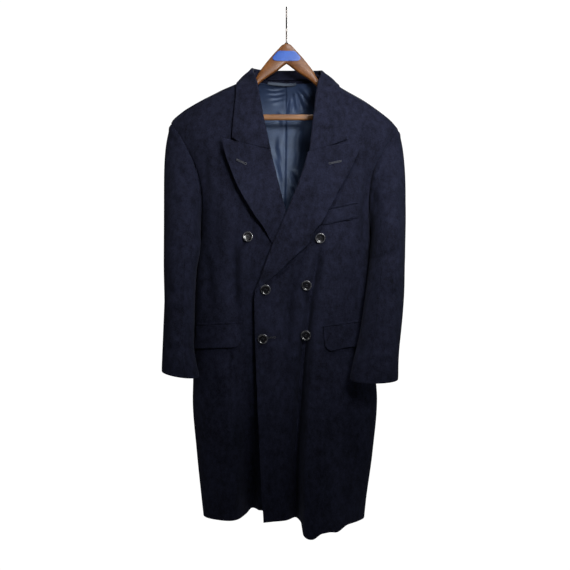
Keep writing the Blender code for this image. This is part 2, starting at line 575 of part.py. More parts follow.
# ---------------------------------------------------------------- sleeves
def sleeve_tube(side, angles, shares, rings):
    """Whole tube of a sleeve with its normals. angles: degrees round from the top by way of the front, going once
    round; shares: rows of the sleeve head from the armhole to the first ring; rings: heights below it."""
    a = np.radians(angles)
    f = np.clip(np.where(a <= math.pi, a, 2 * math.pi - a) / math.pi, 0, 1)
    front = a <= math.pi
    hole = np.where(front[:, None], armhole(side, f, True), armhole(side, f, False))
    col = SLEEVE[side]
    fx = {c: curve(col, c, "z") for c in ("x", "y", "across", "deep")}

    def ring(z):
        return np.stack([fx["x"](z) + side * fx["across"](z) * np.cos(a),
                         fx["y"](z) - fx["deep"](z) * np.sin(a), z + 0 * a], -1)

    first = ring(np.array(float(col["z"][0])))
    up = np.cos(a / 2) ** 2                                  # 1 at the shoulder point, 0 at the underarm
    inner = np.exp(-((angles - 138.0) / 30.0) ** 2)          # the inner front drops straight, before the body's side
    leave = unit(np.stack([side * (0.55 - 0.13 * up - 0.26 * inner), -0.5 * np.sin(a), -(0.95 - 0.05 * up)], -1))
    reach = np.linalg.norm(first - hole, axis=-1)[:, None]
    t0 = leave * reach * 0.55
    t1 = np.array([0, 0, -1.0]) * reach * (0.7 + 0.4 * up[:, None])
    low = ease((f - 0.5) / 0.25)[:, None]                     # underarm the seam has more room
    start = hole + leave * SEAM * (1.3 + 3.0 * low) + low * np.array([0.9 * side, 0, 0])
    rows = []
    even = np.linspace(0, 1, len(shares))
    short = ease((f - 0.5) / 0.35)[:, None]                   # underarm the head is short: rows spread evenly
    for k, t in enumerate(shares):
        t = t + (even[k] - t) * short
        rows.append((2 * t ** 3 - 3 * t ** 2 + 1) * start + (t ** 3 - 2 * t ** 2 + t) * t0
                    + (3 * t ** 2 - 2 * t ** 3) * first + (t ** 3 - t ** 2) * t1)
    for z in rings:
        low = (z - rings[0]) / (rings[-1] - rings[0])
        r = ring(np.array(float(z)))
        r[:, 2] += CUFF_TILT[side] * np.cos(a) * max(0.0, low) ** 2
        rows.append(r)
    p = np.array(rows)
    du = np.gradient(p, axis=0)
    dv = np.roll(p, -1, axis=1) - np.roll(p, 1, axis=1)
    n = unit(np.cross(du, dv))
    axis = np.stack([fx["x"](p[..., 2]), fx["y"](p[..., 2]), p[..., 2]], -1)
    if np.sum((n * (p - axis))[len(shares):]) < 0:
        n = -n
    for j in range(len(a)):                                   # cut edge: with the body's, and toward it underarm
        under = np.clip((f[j] - 0.74) / 0.26, 0, 1)
        n[0, j] = ((1 - under) * armhole_normal(side, min(f[j], 0.74), bool(front[j]))
                   + under * np.array([-side, 0, -0.3]))
    n, t = unit(n), unit(du)
    t = unit(t - n * np.sum(n * t, -1, keepdims=True))
    across = dv - t * np.sum(dv * t, -1, keepdims=True) - n * np.sum(dv * n, -1, keepdims=True)
    return p, n, unit(across)


def make_sleeve(side, mats):
    """Upper and under piece of one sleeve, cut from the same tube at its two seams."""
    word = "left" if side > 0 else "right"
    share = np.array(ARM_ROWS)[::-1]                          # columns meet the body's own seam points
    angles = 180.0 * np.concatenate([share, 2 - share[::-1][1:-1]])
    z = SLEEVE[side]["z"]
    rings = np.linspace(z[0], z[-1], 8)[1:]
    p, n, along = sleeve_tube(side, angles, np.array([0, 0.07, 0.18, 0.34, 0.54, 0.77, 1.0]), rings)
    count = len(angles)
    i = int(np.argmin(np.abs(angles - SEAM_FRONT)))
    j = int(np.argmin(np.abs(angles - SEAM_BACK)))
    for name, cols in (("sleeve_upper_", np.arange(j - count, i + 1)), ("sleeve_under_", np.arange(i, j + 1))):
        q = p[:, cols].copy()
        gap = SEAM * np.where(np.arange(len(q)) < 2, 2.2, 1.0)[:, None]    # three pieces meet at the armhole
        q[:, 0] += along[:, cols[0]] * gap
        q[:, -1] -= along[:, cols[-1]] * gap
        wall(name + word, q, n[:, cols], CLOTH, mats)


# ---------------------------------------------------------------- pockets, buttons, lining
def strip_on(surface, x0, z0, x1, z1, high, lean, cols, rows, off, corner=0.0):
    """Grid of a strip lying on a front: its top edge runs from (x0, z0) to (x1, z1), lower edge `high` below."""
    u = np.linspace(0, 1, cols)
    u = 1 - (1 - u) ** 1.25
    v = np.linspace(0, 1, rows)
    v, u = np.meshgrid(v, u, indexing="ij")
    x = x0 + (x1 - x0) * u + lean * v
    z = z0 + (z1 - z0) * u - high * v
    if corner:
        inset = corner * (1 - np.sqrt(np.clip(1 - np.clip((v * high - (high - corner)) / corner, 0, 1) ** 2, 0, 1)))
        x = x + np.sign(x1 - x0) * inset * np.clip(1 - u / 0.35, 0, 1)
    return lifted(surface, x, z, np.full_like(x, off))[0]


def make_pocket(side, mat):
    word = "left" if side > 0 else "right"
    p = POCKET[side]
    face = over_y if side > 0 else under_y
    lean = 5.0 * side
    g = strip_on(face, p["x0"], p["z0"], p["x1"], p["z1"], FLAP_H, lean, 8, 5, FLAP_T + 1.8, corner=16.0)
    wall("pocket_flap_" + word, g, grid_normals(g, np.array([0, -1.0, 0])), FLAP_T, mat)
    g = strip_on(face, p["x0"] - 3 * side, p["z0"] + JET_H + 0.6, p["x1"], p["z1"] + JET_H + 0.6, JET_H, 0, 8, 2, 3.0)
    wall("pocket_jet_" + word, g, grid_normals(g, np.array([0, -1.0, 0])), 1.4, mat)


def make_welt(mat):
    g = strip_on(over_y, WELT["x0"], WELT["z0"] + WELT["high"] / 2, WELT["x1"], WELT["z1"] + WELT["high"] / 2,
                 WELT["high"], 1.5, 6, 3, WELT["thick"] + 0.5)
    return wall("chest_welt", g, grid_normals(g, np.array([0, -1.0, 0])), WELT["thick"], mat)


def make_button(name, x, z, over, mat):
    """Turned disc with a raised rim, on its own short thread shank's height over the front."""
    r = BUTTON_D / 2
    lift = 1.6
    profile = [(0, 0), (r - 2.2, 0), (r - 0.3, 1.2), (r, 2.4), (r - 0.6, 3.9), (r - 2.0, 4.3), (r - 3.6, 3.2), (0, 2.7)]
    bm = bmesh.new()
    vs = [bm.verts.new((a * MM, 0, b * MM)) for a, b in profile]
    es = [bm.edges.new(pair) for pair in zip(vs, vs[1:])]
    bmesh.ops.spin(bm, geom=vs + es, axis=(0, 0, 1), cent=(0, 0, 0), dvec=(0, 0, 0), angle=2 * math.pi, steps=18,
                   use_merge=True)
    bmesh.ops.remove_doubles(bm, verts=bm.verts, dist=0.00002)
    face = over_y if over else under_y
    foot, n = lifted(face, np.array(float(x)), np.array(float(z)), np.array(0.0))
    turn = np.linspace(0, 2 * math.pi, 24)
    rim = lifted(face, x + r * np.cos(turn), z + r * np.sin(turn), 0 * turn)[0]
    base = foot + n * (lift + max(0.0, float(np.max((rim - foot) @ n))))   # clear of the cloth under its rim
    n = Vector(n.tolist())
    turn = n.to_track_quat("Z", "Y").to_matrix().to_4x4()
    bmesh.ops.transform(bm, matrix=Matrix.Translation(Vector(base.tolist()) * MM) @ turn, verts=bm.verts)
    return link(name, bm, mat)


def make_lining(mat):
    """Back lining, seen in the neck opening: from under the collar to a hand above the hem."""
    rows = np.array([-1238, -1130, -1010, -880, -740, -600, -510, -430, -360, -300, -255, -222, -197])
    share = np.linspace(-1, 1, 13)
    pts = []
    for z in rows:
        lim_l, lim_r = -0.84 * float(W_LEFT(z)), 0.84 * float(W_RIGHT(z))
        if z > -570:
            arm_l = np.interp(-z, -np.array(ARMHOLE[-1]["z"]), ARMHOLE[-1]["x"])
            arm_r = np.interp(-z, -np.array(ARMHOLE[1]["z"]), ARMHOLE[1]["x"])
            lim_l, lim_r = max(lim_l, float(arm_l) + 24), min(lim_r, float(arm_r) - 24)
        if z > -350:
            # below the ridge by a hand's breadth, narrowing to the neck
            reach = np.interp(z, [-350, -300, -255, -222, -197], [184, 140, 96, 62, 44])
            lim_l, lim_r = max(lim_l, -reach), min(lim_r, reach)
        x = np.where(share < 0, -lim_l * share, lim_r * share)
        zz = np.full_like(x, float(z))
        pts.append(lifted(back_y, x, zz, np.full_like(x, -CLOTH - 3.6), 1)[0])
    p = np.array(pts)
    n = grid_normals(p, np.array([0, 1.0, 0]))
    return wall("lining_back", p, n, SATIN, mat)


def make_loop(mat):
    u = np.linspace(0, 1, 9)
    v = np.linspace(0, 1, 3)
    v, u = np.meshgrid(v, u, indexing="ij")
    x = LOOP["x0"] + (LOOP["x1"] - LOOP["x0"]) * u
    z = LOOP["z"] - LOOP["high"] * (v - 0.5) - 3.0 * (4 * u * (1 - u))
    zs = np.minimum(z, -190.0)
    y = back_y(x, zs) - 15.0 - 3.0 * (4 * u * (1 - u))
    p = np.stack([x, y, z], -1)
    n = grid_normals(p, np.array([0, -1.0, 0]))
    return wall("hanger_loop", p, n, SATIN, mat)


# ---------------------------------------------------------------- hanger
def make_hanger(mat):
    top_x, top_z = list(HANGER_TOP["x"]), list(HANGER_TOP["z"])
    half = {}
    for side in (-1, 1):
        outline = [(side * x, z) for x, z in zip(top_x, top_z)]
        for x in (110, 135, 160, 185, 205, HANGER_END - 6):
            outline.append((side * x, float(RIDGE_Z(side * x)) - CLOTH - 9.5))
        end = float(RIDGE_Z(side * HANGER_END))
        outline += [(side * HANGER_END, end - 15), (side * (HANGER_END - 3), end - 27)]
        outline += [(side * 196, float(RIDGE_Z(side * 196)) - 33)]
        a, b = HANGER_LEG
        outline += [(side * b, float(RIDGE_Z(side * b)) - 35), (side * (b - 3), BAR_Z - BAR_H / 2 - 4),
                    (side * (a + 3), BAR_Z - BAR_H / 2 - 4), (side * a, float(RIDGE_Z(side * a)) - 37)]
        outline += [(side * 120, float(RIDGE_Z(side * 120)) - 38)]
        outline += [(side * x, z) for x, z in list(zip(HANGER_LOW["x"], HANGER_LOW["z"]))[::-1]]
        half[side] = outline
    ring = half[1][1:] + half[-1][::-1][1:]
    ring = [(0.0, HANGER_TOP["z"][0])] + ring
    ring = ring[:-1] if ring[-1] == ring[0] else ring
    bm = bmesh.new()
    vs = [bm.verts.new((x * MM, -WOOD / 2 * MM, z * MM)) for x, z in ring]
    face = bm.faces.new(vs)
    out = bmesh.ops.extrude_face_region(bm, geom=[face])
    moved = [v for v in out["geom"] if isinstance(v, bmesh.types.BMVert)]
    bmesh.ops.translate(bm, vec=(0, WOOD * MM, 0), verts=moved)
    obj = link("hanger_wood", bm, mat, smooth=False)
    bev = obj.modifiers.new("round", "BEVEL")
    bev.width, bev.segments, bev.limit_method, bev.angle_limit = 2.5 * MM, 1, "ANGLE", math.radians(60)
    return obj


def make_bar(mat):
    bm = bmesh.new()
    reach = HANGER_LEG[0] - 1.0
    bmesh.ops.create_cube(bm, size=1)
    bmesh.ops.scale(bm, vec=(2 * reach * MM, 9 * MM, BAR_H * MM), verts=bm.verts)
    bmesh.ops.translate(bm, vec=(0, 0, BAR_Z * MM), verts=bm.verts)
    long_edges = [e for e in bm.edges if abs(e.verts[0].co.x - e.verts[1].co.x) > reach * MM]
    bmesh.ops.bevel(bm, geom=long_edges, offset=3 * MM, segments=3, affect="EDGES", profile=0.5)
    return link("hanger_bar", bm, mat, smooth=False)


def make_hook(mat):
    """Wire hook in the plane across the hanger: stem, side bend, and a bow over the rail."""
    r = 17.0
    cz = WIRE / 2 - r
    pts = [(0, HANGER_TOP["z"][0] + 0.4), (0, -70), (0, -58), (2.5, -48), (7.5, -38)]
    for deg in range(-48, 206, 14):
        a = math.radians(deg)
        pts.append((r * math.cos(a), cz + r * math.sin(a)))
    path = np.array(pts)
    along = unit(np.gradient(path, axis=0))
    bm = bmesh.new()
    rings = []
    for (y, z), (ty, tz) in zip(path, along):
        ring = []
        for k in range(10):
            a = 2 * math.pi * k / 10
            c, d = WIRE / 2 * math.cos(a), WIRE / 2 * math.sin(a)
            ring.append(bm.verts.new((c * MM, (y - tz * d) * MM, (z + ty * d) * MM)))
        rings.append(ring)
    for one, two in zip(rings, rings[1:]):
        for k in range(10):
            bm.faces.new((one[k], one[(k + 1) % 10], two[(k + 1) % 10], two[k]))
    bm.faces.new(rings[0][::-1])
    bm.faces.new(rings[-1])
    return link("hanger_hook", bm, mat)


def make_label(mat):
    """Plain coloured lozenge on the hanger's throat, without any lettering."""
    half = [(20, -108.5), (29, -118), (35, -126), (33, -131), (26, -134)]
    ring = half + [(-x, z) for x, z in half[::-1]]
    bm = bmesh.new()
    front = -WOOD / 2 - 0.3
    vs = [bm.verts.new((x * MM, front * MM, z * MM)) for x, z in ring]
    face = bm.faces.new(vs)
    out = bmesh.ops.extrude_face_region(bm, geom=[face])
    moved = [v for v in out["geom"] if isinstance(v, bmesh.types.BMVert)]
    bmesh.ops.translate(bm, vec=(0, -0.8 * MM, 0), verts=moved)
    return link("hanger_label", bm, mat, smooth=False)


# ---------------------------------------------------------------- build
def main():
    for o in list(bpy.data.objects):
        bpy.data.objects.remove(o, do_unlink=True)
    wool = material("wool", (0.010, 0.011, 0.019), 0.9)
    satin = material("satin", (0.055, 0.065, 0.115), 0.45)
    horn = material("horn", (0.018, 0.014, 0.013), 0.25)
    timber = material("timber", (0.30, 0.15, 0.07), 0.35)
    steel = material("steel", (0.65, 0.62, 0.58), 0.2, 1.0)
    blue = material("blue", (0.03, 0.09, 0.42), 0.4)

    make_front_left(wool)
    make_front_right(wool)
    make_back(1, "back_left", wool)
    make_back(-1, "back_right", wool)
    make_lapel(1, "lapel_left", wool)
    make_lapel(-1, "lapel_right", wool)
    make_collar_fall(wool)
    make_collar_stand(wool)
    for side in (1, -1):
        make_sleeve(side, wool)
        make_pocket(side, wool)
    make_welt(wool)
    for name, x, z, over in zip(*(BUTTONS[c] for c in ("name", "x", "z", "over"))):
        make_button("button_" + name, x, z, over, horn)
    make_lining(satin)
    make_loop(satin)
    make_hanger(timber)
    make_bar(timber)
    make_hook(steel)
    make_label(blue)


main()
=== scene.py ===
"""Looks of a double-breasted wool overcoat hanging on a wooden hanger.

Sizes are in millimetres and are turned into metres when a mesh is made.  The frame is the CAD model's: +X is the
viewer's right, +Y goes away from the viewer, +Z is up, the origin is the inside top of the hook.  "Left" and "right"
in names are the wearer's.  The first tables repeat the CAD model's, so every cloth shell lies on its solid's form.
"""

import math

import bmesh
import bpy
import numpy as np
from mathutils import Matrix, Vector


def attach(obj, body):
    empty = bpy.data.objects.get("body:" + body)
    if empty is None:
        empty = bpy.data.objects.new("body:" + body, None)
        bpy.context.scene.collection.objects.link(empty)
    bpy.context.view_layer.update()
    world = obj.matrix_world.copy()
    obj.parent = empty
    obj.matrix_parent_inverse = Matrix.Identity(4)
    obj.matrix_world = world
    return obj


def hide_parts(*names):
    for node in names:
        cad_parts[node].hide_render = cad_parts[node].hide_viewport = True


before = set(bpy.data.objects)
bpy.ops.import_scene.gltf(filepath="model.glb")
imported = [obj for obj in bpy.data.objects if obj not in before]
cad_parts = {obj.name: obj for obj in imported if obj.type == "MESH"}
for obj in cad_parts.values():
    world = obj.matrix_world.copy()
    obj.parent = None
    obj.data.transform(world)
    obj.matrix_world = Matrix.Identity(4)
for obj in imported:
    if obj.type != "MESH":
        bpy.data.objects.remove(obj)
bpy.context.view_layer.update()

MM = 0.001

# ---------------------------------------------------------------- sizes shared with the CAD model
CLOTH = 2.5
ROUND = 2.6
SHOULDER_DROP = 130.0
LAY = 3.4
LAY_UNDER = 5.6
BLOOM = {1: 12.0, -1: 16.0}
OVERLAP_DIP = 14.0
BUTTON_D = 25.0
WIRE = 3.6
WOOD = 13.0

RINGS = dict(
    z=(-1300, -1230, -1105, -975, -930, -890, -850, -800, -730, -700, -650, -622, -600, -562, -525, -483, -457, -400,
       -350, -323, -290, -100),
    left=(203, 211, 224, 234, 233, 232.5, 232, 231, 228.5, 227, 223.5, 221, 218.5, 214, 215.5, 219, 224, 245,
          270, 284, 300, 300),
    right=(191, 198, 215, 226, 223, 218, 214, 211.5, 209.5, 209.5, 209, 209, 209, 208, 209, 213, 217, 238.5,
           263, 278, 296, 296),
    front=(86, 84, 82, 80, 80, 80, 80, 81, 82.4, 83, 84.1, 84.7, 85.2, 86, 86, 86, 85, 82, 80, 78, 76, 72),
    back=(88, 86, 83, 79, 78, 77, 76, 75.6, 75.1, 75, 75.4, 75.6, 75.8, 76, 76, 76, 76, 76, 75, 74, 72, 68),
)
RIDGE = dict(
    x=(-300, -289, -284, -266, -254, -236, -211, -184, -159, -131, -88, -45, 0,
       45, 88, 124, 141, 164, 189, 226, 259, 272, 279, 290),
    z=(-298, -289, -281, -265, -256, -245, -231, -217.5, -205, -193, -174, -155, -138,
       -155, -174, -192, -203, -216, -230, -255, -281, -295, -304, -316),
)
OVER_EDGE = dict(
    z=(-1300, -1205, -1100, -1000, -900, -800, -730, -705, -688, -640, -584, -527, -470, -410, -357, -277, -198, -174),
    x=(-55, -58, -64, -69, -74, -77.5, -78.5, -76, -69, -52, -30, -6, 18, 40, 53, 64, 76, 88),
)
UNDER_EDGE = dict(
    z=(-1300, -900, -720, -688, -640, -584, -497, -418, -353, -277, -198, -174),
    x=(52, 58, 62, 59, 40, 18, -6, -25.5, -41, -56, -70, -88),
)
HEM_OVER = dict(x=(-60, -20, 16, 34, 37, 40, 62, 86, 104, 122, 150, 174, 184, 192),
                z=(-1267, -1263, -1261, -1262, -1275, -1288, -1296, -1284, -1283, -1286, -1273, -1271, -1270, -1270))
HEM_UNDER = dict(x=(-206, -120, -100, -86, -55, 0, 60),
                 z=(-1265, -1266, -1262, -1252, -1254, -1258, -1260))
HEM_BACK = dict(x=(-206, 0, 192), z=(-1265, -1266, -1270))
ARMHOLE = {
    -1: dict(f=(0, 0.10, 0.21, 0.31, 0.41, 0.51, 0.63, 0.74, 0.88, 1.0),
             x=(-289, -264, -248, -235.5, -226, -218, -212, -210, -210.5, -214),
             z=(-289, -323, -351, -376, -400, -426, -458, -483, -525, -562)),
    1: dict(f=(0, 0.10, 0.21, 0.31, 0.41, 0.51, 0.63, 0.74, 0.88, 1.0),
            x=(279, 254, 240, 229, 219.5, 211.5, 207, 205, 204.5, 208),
            z=(-304, -339, -361, -382, -404, -427, -457, -485, -528, -566)),
}
RIGHT_STEP = dict(
    z=(-1300, -1205, -1118, -1009, -912, -792, -697, -627, -540),
    x=(20, 20, 22, 29, 37, 49, 62, 75, 93),
    reach=(24, 24, 25, 26, 28, 30, 32, 34, 36),
    depth=(47, 44, 37, 27, 18, 10, 7, 4, 0),
)
CENTRE_TROUGH = dict(
    z=(-1080, -995, -730, -692, -600, -540),
    x=(-6, -6, 3, 13, 47, 70),
    reach=(14, 13, 12, 12, 13, 14),
    depth=(0, 6, 9, 10, 8, 0),
)
LEFT_TROUGH = dict(
    z=(-1300, -1265, -1180, -1091, -970, -838, -792, -671, -584, -540),
    x=(-86, -86, -89, -93, -100, -110, -117, -126, -134, -138),
    reach=(28, 28, 27, 26, 24, 22, 22, 22, 22, 22),
    depth=(92, 88, 70, 48, 24, 12, 9, 6, 3, 0),
)
RIGHT_TROUGH = dict(
    z=(-1320, -1240, -1140, -1008, -920, -856, -791, -714, -660, -600, -560),
    x=(20, 22, 21, 28, 33, 38, 47, 57, 67, 78, 86),
    reach=(10, 10, 9, 8, 7.5, 7, 7, 7, 8, 9, 10),
    depth=(17, 17, 16, 15, 14, 13, 11, 8, 6, 3, 0),
)
BACK_FOLDS = dict(
    x=(-150, -88, -34, 34, 92, 148),
    reach=(26, 24, 20, 20, 24, 26),
    depth=(9, -8, 8, 8, -8, 9),
)
BACK_FOLD_TOP = -760.0
LAPEL_EDGE = {
    1: dict(t=(0, 0.075, 0.19, 0.305, 0.43, 0.55, 0.665, 0.76, 0.85, 0.91, 0.955, 1.0),
            x=(181, 170, 148.5, 127, 105, 83, 48.5, 18, -16, -43, -60, -76.5),
            z=(-347, -371, -414, -453, -497, -540, -584, -622, -658, -680, -697, -713)),
    -1: dict(t=(0, 0.10, 0.21, 0.34, 0.46, 0.58, 0.69, 0.80, 0.90, 1.0),
             x=(-154, -147, -134, -112.5, -86.5, -60, -38.5, -8, 24, 50),
             z=(-339, -372, -410, -462, -505, -549, -586, -628, -660, -682)),
}
LAPEL_ROLL = {1: (-370.3, -716.0), -1: (-365.3, -690.0)}
NOTCH = {1: (0.41, 4.4), -1: (0.65, -0.8)}
COLLAR = dict(
    side=("f", "f", "f", "f", "f", "s", "b", "b", "b", "b", "b", "b", "b", "s", "f", "f", "f", "f", "f"),
    fold_x=(-38, -45, -55, -64, -70.5, -81, -83, -73, -44, 0, 44, 74, 85, 84, 76, 70, 64, 58, 54),
    fold_y=(0, 0, 0, 0, 0, -18, 10, 36, 54, 60, 54, 36, 10, -18, 0, 0, 0, 0, 0),
    fold_z=(-364.9, -330, -283, -232, -195, -160, -146, -143.5, -144, -143, -144, -147, -152, -165, -196, -232, -283, -335, -369.9),
    edge_x=(-131, -129.5, -124, -120, -120, -124, -120, -100, -58, 0, 58, 103, 125, 129, 127, 128, 135, 142, 146.5),
    edge_z=(-337, -312, -268, -224, -197, -186, -204, -208, -211, -212, -211, -208, -206, -189, -200, -228, -280, -320, -340),
)
COLLAR_GORGE = {0: (0.81, -6.9), 1: (0.55, -2.6)}
NECK = dict(
    side=("f", "f", "f", "b", "b", "b", "b", "b", "b", "b", "f", "f", "f"),
    x=(-71.5, -79, -86, -86, -68, -38, 0, 38, 68, 86, 86, 82.5, 77.5),
    z=(-195, -184, -176, -176, -175, -174, -173, -174, -175, -176, -176, -184, -195),
)
SLEEVE = {
    -1: dict(z=(-622, -729, -836, -875, -907), x=(-259, -261.5, -262, -259, -255.5), y=(-42, -52, -67, -78, -86),
             across=(41, 38, 38, 41, 45), deep=(65, 63, 60, 57, 53)),
    1: dict(z=(-626, -715, -812, -873, -916), x=(247, 237, 224, 213, 207), y=(-47, -72, -99, -116, -124),
            across=(44, 47, 49, 53, 57), deep=(60, 56, 51, 47, 44)),
}
CUFF_TILT = {-1: 7.0, 1: 0.0}
CUFF_DROP = {-1: 3.0, 1: 6.0}
SEAM_FRONT, SEAM_BACK = 111.6, 225.0
HEAD_SHARES = (0, 0.07, 0.18, 0.34, 0.54, 0.77, 1.0)
POCKET = {-1: dict(x0=-110, z0=-786.5, x1=-219, z1=-793), 1: dict(x0=88, z0=-795, x1=198, z1=-781)}
FLAP_H, FLAP_T, JET_H = 56.0, 2.6, 5.5
WELT = dict(x0=66, z0=-536, x1=171.5, z1=-512.5, high=31.5, thick=2.0)
BUTTONS = dict(
    name=("top_right", "top_left", "mid_right", "mid_left", "low_right", "low_left"),
    x=(-93.2, 81.6, -50.4, 48.5, -56.9, 47.5),
    z=(-576.5, -579.4, -703.4, -693.2, -822, -814),
    over=(0, 1, 1, 1, 1, 1),
    lean=((8.0, 9.0), (-4.0, -2.0), (-4.0, -5.0), (-5.0, -2.0), (-3.0, -6.0), (-4.0, -4.0)),   # degrees sideways, up
    turn=(20.0, 75.0, -30.0, 90.0, -35.0, 65.0),                                          # of the holes
)
HANGER_TOP = dict(x=(0, 9, 20, 38, 56, 66, 75, 82, 92), z=(-89, -92, -102.5, -122, -144, -157.5, -173, -184, -193))
HANGER_LOW = dict(x=(0, 8, 21, 38, 62, 90), z=(-139.5, -145, -155.5, -167, -184, -214))
HANGER_END, HANGER_LEG = 221.0, (150.0, 172.0)
BAR_Z, BAR_H = -273.5, 14.5
LOOP = dict(x0=-48, x1=24, z=-181.5, high=9)
SIDE_ROWS = (0.0, 0.075, 0.165, 0.265, 0.365, 0.465, 0.565, 0.665, 0.76, 0.845, 0.925, 1.0)
ARM_ROWS = (1.0, 0.88, 0.75, 0.62, 0.49, 0.36, 0.24, 0.13, 0.05, 0.0)
FRONT_ROWS = (-1266, -1215, -1150, -1080, -1010, -940, -870, -800, -748, -706, -660,
              -610, -560, -510, -460, -410, -358, -305, -252, -205, -174)
BACK_ROWS = (-1266, -1215, -1150, -1080, -1010, -940, -870, -800, -730, -670, -610,
             -560, -515, -470, -425, -380, -335, -290, -250, -210, -174)
NECK_X = 88.0

# ---------------------------------------------------------------- creases, listed
# Each: line of (x, z) points, reach across it, depth, height of the soft ridge on its left side, seen along the line.
OVER_CREASES = (
    # the chest's long soft drapes
    (((12, -640), (8, -730), (5, -830), (8, -930)), 11, 3.2, 1.6),
    (((78, -600), (70, -660), (66, -720)), 10, 3.4, 1.8),
    (((176, -560), (168, -650), (172, -730)), 12, 2.8, 1.6),
    # under the lapel's free edge
    (((171, -377), (151.4, -416), (129.9, -455), (107.9, -499), (85.9, -542), (51.4, -586), (20.9, -624), (-13, -660),
      (-40, -682)), 5.0, 4.0, 0.3, 0.05),
    (((148, -975), (170, -981), (196, -996)), 6, 2.6, 1.6),
    (((70, -1016), (97, -1024), (140, -1010), (194, -989)), 7, 3.2, 2.2),
    (((122, -1043), (150, -1062), (186, -1088)), 10, 2.4, 1.8),
    (((84, -1120), (118, -1132), (160, -1128)), 12, 2.0, 1.4),
    (((110, -1180), (140, -1205), (172, -1212)), 12, 2.2, 1.6),
    (((200, -365), (197, -440), (192, -520), (190, -640)), 10, 7.5, 2.0),
    (((176, -640), (184, -720), (182, -800)), 12, 4.0, 1.5),
    (((76, -566), (62, -600), (50, -650)), 9, 3.0, 1.6),
    (((-40, -830), (-45, -880), (-42, -930)), 8, 2.2, 1.2),
    (((-20, -840), (-4, -872), (-2, -905)), 7, 1.6, 1.0),
    (((-62, -736), (-30, -748), (4, -744)), 10, 1.4, 1.0),
    (((100, -660), (130, -684), (160, -690)), 16, 2.0, 1.4),
    (((105, -870), (135, -884), (172, -880)), 12, 2.0, 1.4),
    (((-52, -1090), (-30, -1108), (8, -1104)), 12, 1.8, 1.2),
    (((88, -514), (128, -505.5), (174, -494.5)), 2.0, 2.2, 0.5, 0.06),
    (((84, -549), (128, -539.5), (175, -527.5)), 2.0, 1.3, 0.0, 0.06),
    (((58, -1050), (66, -1100), (62, -1180)), 14, 2.6, 2.0),
    (((140, -930), (166, -950), (200, -952)), 9, 2.0, 1.6),
    (((-66, -960), (-40, -985), (-10, -990)), 11, 1.6, 1.2),
)
UNDER_CREASES = (
    # the chest's long soft drapes
    (((-122, -545), (-128, -620), (-129, -700), (-120, -790)), 15, 3.6, 2.2),
    (((-176, -470), (-170, -560), (-172, -650)), 13, 2.6, 1.6),
    (((-130, -842), (-140, -881), (-144, -912)), 5, 3.2, 1.6),
    (((-196, -1011), (-165, -1019), (-141, -1026)), 7, 2.6, 1.8),
    (((-201, -1093), (-176, -1108), (-146, -1139)), 8, 3.6, 2.6),
    (((-140, -1076), (-128, -1080), (-116, -1079)), 5, 1.6, 1.0),
    (((-190, -1160), (-160, -1182), (-128, -1188)), 12, 2.4, 1.8),
    (((-198, -345), (-198, -420), (-194, -500)), 9, 2.6, 2.0),
    (((-196, -600), (-190, -680), (-192, -770)), 11, 4.0, 1.6),
    (((-96, -592), (-98, -640), (-104, -700)), 6, 1.4, 0.8),
    (((-168, -640), (-150, -690), (-146, -740)), 14, 2.0, 1.4),
    (((-188, -890), (-172, -930), (-170, -970)), 12, 2.2, 1.4),
    (((-122, -540), (-127, -640), (-126, -720), (-118, -800)), 11, 4.2, 2.0),
    (((-206, -930), (-180, -950), (-150, -952)), 9, 2.0, 1.4),
    (((-196, -1200), (-170, -1216), (-140, -1232)), 10, 2.0, 1.6),
)
BACK_CREASES = (
    (((-120, -300), (-60, -318), (10, -314), (90, -296)), 14, 2.6, 2.0),
    (((-150, -380), (-128, -460), (-118, -560)), 16, 4.0, 2.0),
    (((146, -386), (126, -470), (120, -580)), 16, 4.0, 2.0),
    (((-190, -610), (-150, -650), (-100, -668)), 10, 3.0, 2.2),
    (((188, -626), (150, -660), (96, -676)), 10, 3.0, 2.2),
    (((-170, -700), (-120, -716), (-60, -712)), 11, 2.4, 1.8),
    (((60, -736), (120, -728), (176, -706)), 11, 2.4, 1.8),
    (((-196, -880), (-150, -905), (-104, -902)), 10, 2.6, 1.8),
    (((90, -930), (140, -948), (190, -936)), 10, 2.6, 1.8),
    (((-180, -1080), (-140, -1100), (-92, -1108)), 12, 2.6, 1.8),
    (((70, -1130), (126, -1118), (178, -1090)), 12, 2.6, 1.8),
    (((0, -420), (4, -560), (0, -700)), 5, 1.2, 0.0),
)
